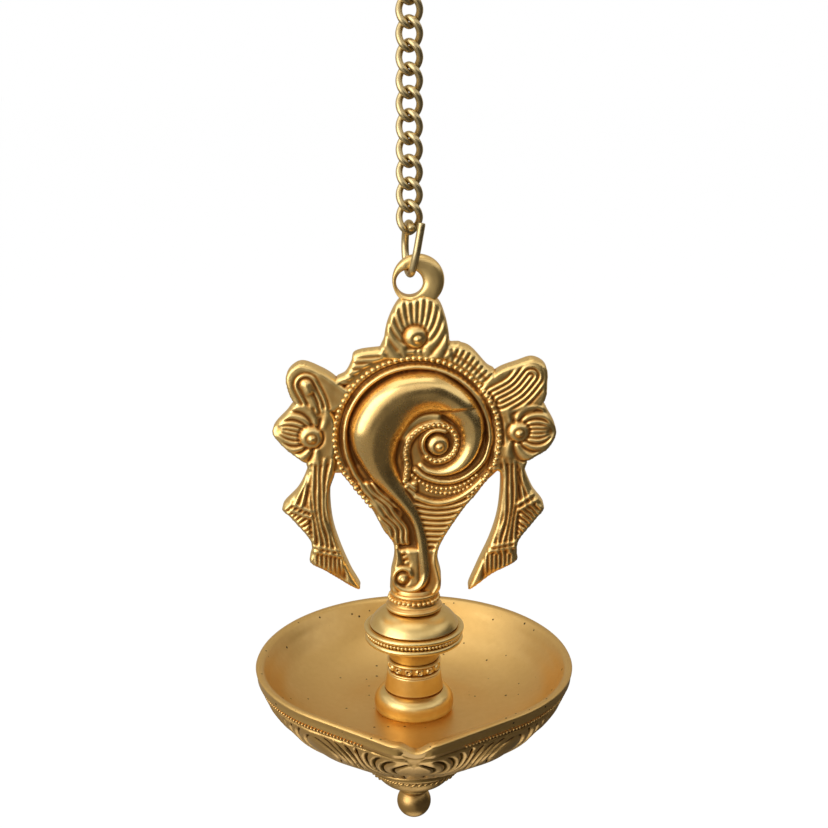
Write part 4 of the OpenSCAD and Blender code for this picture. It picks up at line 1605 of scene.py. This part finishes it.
    def bead_rows(self) -> list[tuple[Array, float]]:
        """Beads round the disc and down the funnel's edges, across the funnel, on the coil and at its end.

        Returns:
            Places and radius of each row.
        """
        disc = arc(self.border_at, self.border_r, -20, 203, 120)
        border = np.concatenate([self.RIGHT_EDGE, disc, self.LEFT_EDGE])
        band = smooth_path(self.BEAD_BAND)
        second = band[8:-4] + (0.3, -1.75)
        return [(spaced(border, self.border_pitch), self.border_bead),
                (spaced(band, self.band_pitch), self.band_beads[0]),
                (spaced(second, self.band_pitch), self.band_beads[1]),
                (spaced(smooth_path(self.COIL), self.coil_pitch), self.coil_bead),
                (np.array(self.TAIL_BEADS), self.tail_bead)]

    def relief(self) -> ReliefField:
        """Carve the whole front.

        Returns:
            The relief.
        """
        f = ReliefField(self.grid_low, self.grid_high, self.grid)
        self.lay_plate(f)
        self.carve_wings(f)
        self.carve_crest(f)
        self.carve_funnel(f)
        f.blur()
        self.carve_conch(f)
        f.blur()
        waves = np.sin(f.x * 0.9 + 1.3 * np.sin(f.z * 0.37)) * np.cos(f.z * 0.8)
        f.height += self.uneven * waves * (1 - f.burnish)
        inward = np.clip(f.edge, 0, self.edge_round) / self.edge_round
        f.height -= self.edge_drop * (1 - half_round(1 - inward))
        return f

    def eye(self) -> Shell:
        """Thick hanging eye round its off-centre hole, crisp below and worn round above.

        Returns:
            The skin.
        """
        centre = np.array([self.eye_r - self.eye_hole_r - self.eye_wall, self.eye_lift])
        around = round_angles(40)
        rings = []
        for angle in round_angles(96):
            ray = np.array([math.cos(angle), math.sin(angle)])
            to_rim = ray @ centre + math.sqrt((ray @ centre) ** 2 - centre @ centre + self.eye_r ** 2)
            half = (to_rim - self.eye_hole_r) / 2
            depth = self.plate_t / 2 * min(1.0, math.sqrt(half / self.eye_full_half))
            low = soft_step(-0.1, 0.9, -math.sin(angle))
            power = self.eye_round_top + (self.eye_round_low - self.eye_round_top) * low
            across, through = (np.sign(wave) * np.abs(wave) ** power
                               for wave in (np.cos(around), np.sin(around)))
            out = self.eye_hole_r + half * (1 - across)
            rings.append(np.stack([self.layout.axis_x + self.eye_at[0] + out * ray[0], depth * through,
                                   self.layout.disc_z + self.eye_at[1] + out * ray[1]], 1))
        return loft(np.array(rings), wrap=True)

    def build(self, cast: bpy.types.Material) -> None:
        """Make and dress the plaque's pieces.

        Args:
            cast: Material of the casting.
        """
        slot = "cast_brass"
        f = self.relief()
        front = f.skin(self.place, self.plate_t / 2)
        mesh = make_mesh("plaque_relief", front.joined(self.eye()), RELIEF_SHADING)
        burnish, recess = np.zeros(len(mesh.vertices)), stored(mesh, "recess")
        burnish[:len(f.used)] = f.burnish.ravel()[f.used]
        # The relief's painted shade and painted highlights join its recess mask.
        recess[:len(f.used)] += f.shade.ravel()[f.used]
        store(mesh, "burnish", burnish)
        store(mesh, "recess", np.clip(recess, 0, 1))
        make_piece("plaque_relief", mesh, cast, Carrier(LAMP, slot, ("conch_plaque",)))
        for number, (path, r) in enumerate(self.bead_rows(), 1):
            places = self.place(*path.T, f.sample(path) - self.bead_sink * r)
            bead_piece(f"plaque_beads_{number}", places, (r, r, r), cast, slot)
        axis_x, low = self.layout.axis_x, self.layout.collar_z
        collar = lathe(rounded_profile(self.COLLAR, self.collar_step, low), axis_x, self.collar_sides)
        shell_piece("plaque_collar", collar, COLLAR_SHADING, cast, Carrier(LAMP, slot))
        ring = ring_places(axis_x, self.collar_bead_r, low + self.collar_bead_z, self.collar_beads)
        bead_piece("collar_beads", ring, (self.collar_bead,) * 3, cast, slot)


# Pedestal, bowl and foot

@dataclass
class Pedestal:
    """Turned stand between the plaque and the bowl."""

    layout: Layout
    base_r: float = 15.0
    waist_r: float = 9.3
    waist_low_r: float = 10.8
    disc_r: float = 19.5
    top_r: float = 8.4
    bead_r: float = 0.75
    bead_z: float = 31.6
    bead_in: float = 2.1
    beads: int = 76
    scroll_count: int = 14
    scroll_z: float = 18.3
    scroll_half: float = 1.35
    step: float = 0.3
    sides: int = 256

    def profile(self) -> Array:
        """Turned outline from the floor up.

        Returns:
            Rows of radius and height.
        """
        top = self.layout.collar_z - self.layout.floor_z
        base, low, waist, disc = self.base_r, self.waist_low_r, self.waist_r, self.disc_r
        rows = ((0, 0), (base - 1.3, 0), (base - 0.6, 0.9, 0.15), (base - 0.1, 3.2, 0.2),
                (base - 0.8, 6.2, 0.35), (low + 0.5, 8.5), (low - 0.1, 8.6), (low - 0.1, 9.1),
                (low + 0.15, 9.3), (waist + 0.7, 15.6),
                (waist + 0.4, 15.8, 0.5), (waist + 0.4, 16.7), (waist - 0.1, 16.9), (waist - 0.1, 19.7),
                (waist + 0.3, 19.9, 0.5), (waist + 0.3, 20.8), (waist - 0.3, 21.0, -0.8), (disc - 4.4, 28.2),
                (disc - 2.6, 28.4, 1.15), (disc - 2.2, 30.6), (disc - 2.6, 30.8), (disc - 2.2, 32.4),
                (disc - 1.8, 32.5, 1.0), (disc - 1.9, 34.3), (disc - 3.4, 34.2), (disc - 3.0, 34.9, 1.1),
                (self.top_r + 1.5, top - 0.3), (self.top_r, top - 0.2), (self.top_r, top), (0, top))
        return rounded_profile(rows, self.step, self.layout.floor_z)

    def scrolls(self, angle: Array, z: Array) -> Array:
        """Little scrolls on the band round the waist.

        Args:
            angle: Angles round the axis.
            z: Height at each of them.

        Returns:
            How far the surface stands out.
        """
        up = (z - self.layout.floor_z - self.scroll_z) / self.scroll_half
        along = ((angle * self.scroll_count / TURN) % 1.0 * 2 - 1) * 1.45
        curl = bell(np.hypot(along, up) - 0.72, 0.24)
        eye = bell(np.hypot(along - 0.15, up + 0.1), 0.25)
        return np.where(np.abs(up) < 1, (0.75 * curl + 0.6 * eye) * (1 - up ** 4), 0.0)

    def build(self, turned: bpy.types.Material) -> None:
        """Make and dress the pedestal.

        Args:
            turned: Material of turned pieces.
        """
        slot = "turned_brass"
        shell = lathe(self.profile(), self.layout.axis_x, self.sides, self.scrolls)
        shell_piece("pedestal_turning", shell, TURNED_SHADING, turned, Carrier(LAMP, slot, ("pedestal",)))
        bead_z = self.layout.floor_z + self.bead_z
        ring = ring_places(self.layout.axis_x, self.disc_r - self.bead_in, bead_z, self.beads)
        bead_piece("pedestal_beads", ring, (self.bead_r,) * 3, turned, slot)


@dataclass
class OilBowl:
    """Pointed bowl: satin inside, plain rim band, carved leaves outside and a plain tongue under the lip."""

    layout: Layout
    radius: float = 59.0
    lip_reach: float = 69.0
    lip_w: float = 14.0
    back_reach: float = 65.0
    depth: float = 19.4
    rim_t: float = 3.0
    rim_band: float = 4.6
    foot_r: float = 20.5
    seat_r: float = 16.0
    lip_fade: float = 0.55
    lip_blend: float = 0.12
    leaves: int = 9
    leaf_rise: float = 0.55
    slit_depth: float = 1.9
    field_sink: float = 0.3
    field_gap: float = 2.2
    sides: int = 480
    carved_sides: int = 880
    carved_step: float = 0.54
    tongue_h: float = 12.0
    tongue_top: float = -0.7
    tongue_share: float = 0.44
    tongue_rise: float = 0.6
    tongue_soft: float = 0.45
    tongue_mask: float = 0.57
    inside_mask: float = 0.48
    notch_depth: float = 2.6
    notch_x: float = 0.8
    notch_share: float = 0.46
    bead_r: float = 0.5
    bead_pitch: float = 1.5
    bead_gap: float = 17.2
    bead_in: float = 1.5
    bead_down: float = 1.1
    bead_steps: int = 1440

    OUTER = ((1.0, 0.0), (0.985, 0.05), (0.955, 0.12), (0.91, 0.22), (0.78, 0.41), (0.61, 0.58), (0.36, 0.77),
             (0.12, 0.94), (-0.02, 1.0))
    INNER = ((1.0, 0.055), (0.975, 0.13), (0.92, 0.3), (0.8, 0.6), (0.6, 0.84), (0.36, 0.97), (0.15, 0.995),
             (0.0, 1.0))
    SLITS = ((0.16, 0.2, 0.02, 0.09, 0.46, 0.6), (0.38, 0.2, 0.0, 0.06, 0.5, 0.65),
             (0.62, 0.14, -0.04, 0.06, 0.52, 0.65), (0.84, 0.06, -0.08, 0.05, 0.5, 0.6),
             (0.3, 0.06, 0.0, 0.6, 0.93, 0.6), (0.66, 0.04, 0.0, 0.6, 0.93, 0.6))
    BAND = ((-1.2, -1.01), (-1.0, -0.94), (-0.3, -0.87), (-0.2, -0.6), (0.0, -0.3), (0.2, -0.22),
            (0.25, -0.14), (0.1, -0.07), (-0.35, -0.016), (-0.9, 0.0), (-1.6, -0.013), (-2.4, -0.065))

    def plan(self, angle: Array) -> Array:
        """Reach of the rim from the axis: a circle with a lip between two tangents and a longer back.

        Args:
            angle: Angles round the axis.

        Returns:
            The reach at each angle.
        """
        corner = np.array([self.lip_w / 2, -self.lip_reach])
        lip = math.atan2(corner[0], self.lip_reach)
        touch = lip + math.acos(self.radius / float(np.hypot(*corner)))
        way = self.radius * np.array([math.sin(touch), -math.cos(touch)]) - corner
        a = from_front(angle)
        crossing = np.sin(a) * way[1] + np.cos(a) * way[0]
        side = (corner[0] * way[1] - corner[1] * way[0]) / np.where(np.abs(crossing) < TINY, TINY, crossing)
        back = 1 / np.hypot(np.sin(a) / self.radius, np.cos(a) / self.back_reach)
        reach = np.select([a < lip, a < touch, a > np.pi / 2],
                          [self.lip_reach / np.maximum(np.cos(a), 0.1), side, back], self.radius)
        for _ in range(5):
            reach = (np.roll(reach, 1) + 2 * reach + np.roll(reach, -1)) / 4
        return reach

    def tongue(self, angle: Array, z: float) -> Array:
        """Mask of the plain pointed tongue under the lip at one level.

        Args:
            angle: Angles round the axis.
            z: Height of the level over the rim.

        Returns:
            1 on the tongue and 0 beside it.
        """
        x, soft = np.abs(np.sin(angle)) * self.lip_reach, self.tongue_soft
        taper = 1 + min(0.0, z - self.tongue_top) / self.tongue_h
        half = (self.lip_w * self.tongue_share + soft) * taper - soft
        return soft_step(soft, -soft, x - half) * (np.cos(angle) > 0)

    def notch(self, angle: Array, share: float, z: float) -> Array:
        """Depth of the worn notch in the lip at one level.

        Args:
            angle: Angles round the axis.
            share: 0 at the foot's radius and 1 at the rim's.
            z: Height of the level over the rim.

        Returns:
            The depth at each angle.
        """
        side = np.abs(np.sin(angle) * self.lip_reach - self.notch_x) / (self.lip_w * self.notch_share)
        across = soft_step(1.0, 0.0, side) * (np.cos(angle) > 0)
        return self.notch_depth * across * soft_step(-10, 0.5, z) * soft_step(0.55, 0.95, share)

    def ring(self, angle: Array, r: float, z: float, swell: Value = 0.0, outer: bool = False) -> Array:
        """Corners of one level.

        Args:
            angle: Angles round the axis.
            r: Radius of the level where the bowl is round.
            z: Height of the level over the rim.
            swell: Swell of the surface at each angle.
            outer: True on the outside, where the tongue stands out under the lip.

        Returns:
            The corners.
        """
        share = (r - self.foot_r) / (self.radius - self.foot_r)
        point = (share - self.lip_fade) / (1 - self.lip_fade)
        point = (point + math.hypot(point, self.lip_blend)) / 2
        plain = r + (self.plan(angle) - self.radius) * point
        out = plain + swell
        low = self.tongue_top - self.tongue_h
        if outer and low < z < self.tongue_top:
            facet = plain + np.interp(z, [low, -self.rim_band], [self.tongue_rise, -0.3])
            if z > -1.02 * self.rim_band:
                facet = (self.lip_reach + 0.2 + 0.62 * (z - self.tongue_top)) / np.maximum(np.cos(angle), 0.1)
            out = out + (facet - out) * self.tongue(angle, z)
        return np.stack([self.layout.axis_x + out * np.sin(angle), -out * np.cos(angle),
                         self.layout.rim_z + z - self.notch(angle, share, z)], 1)

    def carving(self, angle: Array, r: float, down: float, length: float) -> Array:
        """Leaf field on the outside at one level.

        Args:
            angle: Angles round the axis.
            r: Radius of the level.
            down: Distance of the level below the top of the field.
            length: Length of the whole field.

        Returns:
            The swell of the surface.
        """
        share = down / length
        wide = TURN / self.leaves
        across = np.abs(((angle + wide / 2) % wide) / wide * 2 - 1)
        arc_length = wide / 2 * r
        cut = bell((1 - across) * arc_length, 0.5) * soft_step(0.04, 0.1, share)
        for start, bow, lean, low, high, width in self.SLITS:
            t = (share - low) / (high - low)
            if 0 < t < 1:
                line = start + bow * math.sin(math.pi * t) + lean * t - 0.13 * math.exp(-9 * t)
                slit = bell((across - line) * arc_length, width * (1.4 - 0.8 * t))
                cut = np.maximum(cut, slit * min(1.0, 6 * t, 6 * (1 - t)))
        lobe = 0.35 * np.cos(np.pi * across * 3) * math.sin(math.pi * min(1.0, share * 1.1))
        within = soft_step(0.0, 0.9, down - self.field_gap) * soft_step(0, 1.2, length - down)
        return (self.leaf_rise + lobe - self.slit_depth * cut) * within - self.field_sink * (1 - within)

    def outside(self) -> tuple[Array, Array, Array]:
        """Path of the outside from the rim band down to the foot.

        Returns:
            Distance along the path, and the radius and height over the rim at each of its points.
        """
        height = self.layout.rim_z - self.layout.foot_z
        share, drop = smooth_path(self.OUTER, 14).T
        r = self.foot_r + share * (self.radius - self.foot_r - 1.2)
        z = -self.rim_band - drop * (height - self.rim_band)
        return path_run(np.stack([r, z], 1)), r, z

    def carved_skin(self) -> tuple[Shell, Array]:
        """Carved outside, closed by a plain back within the wall.

        Returns:
            The skin, and the share of the plain tongue at each of its corners.
        """
        angle = round_angles(self.carved_sides)
        none = np.zeros_like(angle)
        run, r_out, z_out = self.outside()
        length = float(run[-1])
        rings, plain = [self.ring(angle, self.foot_r - 2.2, float(z_out[-1]))], [none]
        for down in np.arange(0, length, self.carved_step)[::-1]:
            r, z = float(np.interp(down, run, r_out)), float(np.interp(down, run, z_out))
            plain.append(self.tongue(angle, z))
            swell = self.carving(angle, r, down, length) * (1 - plain[-1])
            rings.append(self.ring(angle, r, z, swell * min(1.0, down / 1.2), True))
        for r, z in zip(r_out[::16], z_out[::16]):
            rings.append(self.ring(angle, r - 2.0, min(z + 0.6, z_out[0])))
            plain.append(none)
        return loft(np.array(rings)), np.concatenate(plain)

    def plain_skin(self) -> Shell:
        """Inside, rim and plain band, closed within the wall.

        Returns:
            The skin.
        """
        angle = round_angles(self.sides)
        _, r_out, z_out = self.outside()
        rings = [self.ring(angle, r - 2.4, z + 1.0) for r, z in zip(r_out[:7:-8], z_out[:7:-8])]
        for out, share in self.BAND:
            rings.append(self.ring(angle, self.radius + out, self.rim_band * share, outer=True))
        for share, drop in smooth_path(self.INNER, 6):
            r = self.seat_r + share * (self.radius - self.rim_t - self.seat_r)
            rings.append(self.ring(angle, r, -self.depth * drop))
        return loft(np.array(rings))

    def build(self, satin: bpy.types.Material, carved: bpy.types.Material) -> None:
        """Make and dress the bowl.

        Args:
            satin: Material of the inside and the rim.
            carved: Material of the outside.
        """
        slot = "bowl_brass"
        mesh = make_mesh("bowl_casting", self.plain_skin(), PLAIN_SHADING)
        store(mesh, "recess", np.full(len(mesh.vertices), self.inside_mask))
        make_piece("bowl_casting", mesh, satin, Carrier(LAMP, slot, ("bowl",)))
        shell, plain = self.carved_skin()
        mesh = make_mesh("bowl_carving", shell, CARVED_SHADING)
        recess = stored(mesh, "recess")
        store(mesh, "recess", recess + (self.tongue_mask - recess) * plain)
        make_piece("bowl_carving", mesh, carved, Carrier(LAMP, slot))
        angle = round_angles(self.bead_steps)
        row = self.ring(angle, self.radius - self.bead_in, -self.rim_band - self.bead_down)
        places = spaced(row[from_front(angle) > math.radians(self.bead_gap)], self.bead_pitch)
        bead_piece("bowl_beads", places, (self.bead_r,) * 3, carved, slot)


@dataclass
class Foot:
    """Collar with its rope ring, and the ball that closes the stack."""

    layout: Layout
    collar_r: float = 18.8
    neck_r: float = 4.3
    ball_r: float = 6.5
    ball_top: float = 52.0
    strands: int = 44
    strand_radii: Place = (0.72, 0.75, 1.5)
    strand_lean: float = 52.0
    rope_in: float = 2.3
    rope_down: float = 5.3
    step: float = 0.25
    collar_sides: int = 192
    ball_steps: int = 59
    ball_sides: int = 96

    def build(self, finish: bpy.types.Material) -> None:
        """Make and dress the collar, the rope ring and the ball.

        Args:
            finish: Material of the foot's pieces: turned brass painted darker, as painted shade under the
                bowl.
        """
        slot = "turned_brass"
        axis_x, z = self.layout.axis_x, self.layout.neck_z
        h, r, neck = self.layout.foot_z - z, self.collar_r, self.neck_r
        rows = ((0, 0), (neck + 1.4, 0), (neck + 1.9, 0.6, 0.3), (neck + 2.4, 2.2), (neck + 2.2, 2.5, 1.2),
                (r - 3.8, h - 7.0), (r - 3.4, h - 6.6), (r - 3.0, h - 6.4, 0.7), (r - 2.4, h - 4.4),
                (r - 2.0, h - 4.2), (r - 1.4, h - 4.0, 1.3), (r - 1.3, h - 1.0), (r - 2.0, h - 0.8),
                (r - 2.0, h), (0, h))
        collar = lathe(rounded_profile(rows, self.step, z), axis_x, self.collar_sides)
        shell_piece("foot_turning", collar, TURNED_SHADING, finish, Carrier(LAMP, slot, ("foot_collar",)))
        places = ring_places(axis_x, r - self.rope_in, z + h - self.rope_down, self.strands)
        turns = np.zeros((self.strands, 3))
        turns[:, 1] = math.radians(self.strand_lean)
        turns[:, 2] = round_angles(self.strands)
        bead_piece("foot_rope", places, self.strand_radii, finish, slot, turns)
        ball = arc((0, self.layout.ball_z + self.ball_r), self.ball_r, -90, self.ball_top, self.ball_steps)
        shank = ((neck - 0.4, ball[-1][1] + 0.3), (neck - 0.4, z - 0.4), (neck, z), (0, z))
        turning = lathe(np.concatenate([ball, shank]), axis_x, self.ball_sides)
        shell_piece("ball_turning", turning, BALL_SHADING, finish, Carrier(LAMP, slot, ("ball_finial",)))


# Studio

def face_along(shown: bpy.types.Object, way: Vector) -> None:
    """Turn a camera or a light to look along a way."""
    shown.rotation_mode = "QUATERNION"
    shown.rotation_quaternion = way.to_track_quat("-Z", "Y")


@dataclass
class Studio:
    """Camera, soft light, pale floor and the cards that a brass surface mirrors.

    The lights, the cards and the floor's half width are in metres.
    """

    layout: Layout
    image: int = 828
    focal_px: float = 1667.0
    sensor: float = 36.0
    distance: float = 600.0
    pitch: float = 16.0
    aim_up: float = 8.67
    light_aim_up: float = -40.0
    floor_z: float = -640.0
    floor_half: float = 6.0
    card_steps: int = 12
    card_reach: float = 1.25
    card_tint: Colour = (1.0, 0.94, 0.82)
    room: float = 0.58

    CARDS = (("right_card", (10, 120), (-1.2, 0.3), 0.05), ("front_card", (-12, 10), (-1.2, 0.0), 0.12),
             ("low_card", (-70, -12), (-1.2, -0.45), 0.4), ("back_card", (120, 232), (-1.2, 0.9), 0.5),
             ("left_card", (232, 290), (-1.2, 0.3), 0.5), ("ceiling_card", (-180, 180), (1.0, 1.0), 0.55),
             ("floor_left", (-170, 10), (-0.62, -0.62), 0.32),
             ("floor_right", (10, 190), (-0.62, -0.62), 0.1))

    def over_disc(self, up: float) -> Vector:
        """Point of the lamp's axis at a height over the plaque's disc, in metres."""
        return Vector((self.layout.axis_x, 0, self.layout.disc_z + up)) * MM

    def camera(self) -> None:
        """Camera at the photograph's angle."""
        data = bpy.data.cameras.new("camera")
        data.sensor_width = self.sensor
        data.lens = self.sensor * self.focal_px / self.image
        data.clip_start = 0.01
        camera = show("camera", data)
        pitch = math.radians(self.pitch)
        ahead = Vector((0, math.cos(pitch), -math.sin(pitch)))
        camera.location = self.over_disc(self.aim_up) - ahead * self.distance * MM
        face_along(camera, ahead)
        bpy.context.scene.camera = camera

    def light(self, name: str, place: Place, size: Point, power: float) -> None:
        """Soft rectangular light that faces the lamp.

        Args:
            name: Name of the light.
            place: Where it stands, in metres.
            size: Its width and height in metres.
            power: Its power in watts.
        """
        data = bpy.data.lights.new(name, "AREA")
        data.shape = "RECTANGLE"
        data.size, data.size_y = size
        data.energy = power
        light = show(name, data)
        light.location = place
        face_along(light, self.over_disc(self.light_aim_up) - Vector(place))

    def card(self, name: str, angles: Point, heights: Point, shade: float) -> None:
        """Curved plain card that only mirror reflections see.

        Args:
            name: Name of the card.
            angles: Where it starts and ends round the lamp, in degrees to the right of the front.
            heights: Its lower and upper edge in metres. A card with one height lies flat.
            shade: Its brightness.
        """
        count = self.card_steps + 1
        angle = np.radians(np.linspace(*angles, count))
        inner = 0.1 if heights[0] == heights[1] else 1.0
        rows = [np.stack([reach * np.sin(angle), -reach * np.cos(angle), np.full(count, z)], 1)
                for reach, z in zip((self.card_reach, inner * self.card_reach), heights)]
        faces = [(k, k + 1, k + count + 1, k + count) for k in range(self.card_steps)]
        mesh = bpy.data.meshes.new(name)
        mesh.from_pydata(np.concatenate(rows).tolist(), [], faces)
        net = surface(mesh, name)
        colour = (*(shade * tint for tint in self.card_tint), 1)
        glow = net.node("ShaderNodeEmission", {"Color": colour, "Strength": 1.0})
        net.feed(net.tree.nodes["Material Output"].inputs["Surface"], glow.outputs[0])
        card = show(name, mesh)
        card.visible_camera = card.visible_diffuse = card.visible_shadow = card.visible_transmission = False

    def floor(self) -> None:
        """Pale floor that shows white."""
        mesh = bpy.data.meshes.new("floor")
        z, half = self.floor_z * MM, self.floor_half
        corners = [(-half, -half, z), (half, -half, z), (half, half, z), (-half, half, z)]
        mesh.from_pydata(corners, [], [(0, 1, 2, 3)])
        net = surface(mesh, "pale_floor")
        shader = net.tree.nodes["Principled BSDF"]
        net.feed(shader.inputs["Base Color"], (0.86, 0.85, 0.83, 1))
        net.feed(shader.inputs["Roughness"], 0.9)
        white = net.node("ShaderNodeEmission", {"Strength": 0.9})
        shaded = net.node("ShaderNodeBsdfDiffuse", {"Color": (0.17, 0.17, 0.17, 1)})
        pale = net.node("ShaderNodeAddShader", {0: white.outputs[0], 1: shaded.outputs[0]})
        blend = net.node("ShaderNodeMixShader", {0: seen_rays(net), 1: shader.outputs[0], 2: pale.outputs[0]})
        net.feed(net.tree.nodes["Material Output"].inputs["Surface"], blend.outputs[0])
        show("floor", mesh)

    def world(self) -> None:
        """White surround for the eye and for mirror reflections, dimmer as a light."""
        world = bpy.data.worlds.new("white_room")
        world.use_nodes = True
        net = NodeNet(world.node_tree)
        back = net.tree.nodes["Background"]
        net.feed(back.inputs["Color"], (1, 1, 1, 1))
        net.feed(back.inputs["Strength"], net.ramp(seen_rays(net), 0.0, 1.0, self.room, 1.0))
        bpy.context.scene.world = world

    def build(self) -> None:
        """Set up the whole studio."""
        bpy.context.scene.view_settings.view_transform = "Standard"
        self.camera()
        self.world()
        self.floor()
        self.light("window", (-0.85, -0.65, 0.1), (1.0, 1.2), 8.0)
        self.light("top_light", (-0.2, 0.0, 0.75), (1.0, 1.0), 3.0)
        for card in self.CARDS:
            self.card(*card)


def surface(mesh: bpy.types.Mesh, name: str) -> NodeNet:
    """Give a mesh a new material.

    Args:
        mesh: The mesh.
        name: Name of the material.

    Returns:
        The net of the material's nodes.
    """
    material = bpy.data.materials.new(name)
    material.use_nodes = True
    mesh.materials.append(material)
    return NodeNet(material.node_tree)


def seen_rays(net: NodeNet) -> bpy.types.NodeSocket:
    """Tell the rays that show a surface as it is from those that only light others.

    Args:
        net: Net that the nodes are added to.

    Returns:
        1 for rays from the camera, from mirror reflections and through glass.
    """
    path = net.node("ShaderNodeLightPath").outputs
    mirrored = net.calc("MAXIMUM", path["Is Glossy Ray"], path["Is Transmission Ray"])
    return net.calc("MAXIMUM", path["Is Camera Ray"], mirrored)


def main() -> None:
    """Build the lamp piece by piece, then the studio."""
    logging.basicConfig(level=logging.INFO, format="%(name)s: %(message)s")
    layout = Layout.from_frame()
    wire_brass, cast, turned = WIRE.material(), CAST.material(), TURNED.material()
    wires = Wirework()
    wires.hook(wire_brass)
    wires.chain(wire_brass)
    wires.ring(wire_brass)
    ConchPlaque(layout).build(cast)
    Pedestal(layout).build(turned)
    OilBowl(layout).build(SATIN.material(), CARVED.material())
    Foot(layout).build(SHADED_FOOT.material())
    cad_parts["tie_stud"].data.materials.clear()
    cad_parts["tie_stud"].data.materials.append(turned)
    LOG.info("tie_stud shows its own solid")
    Studio(layout).build()


if __name__ == "__main__":
    main()
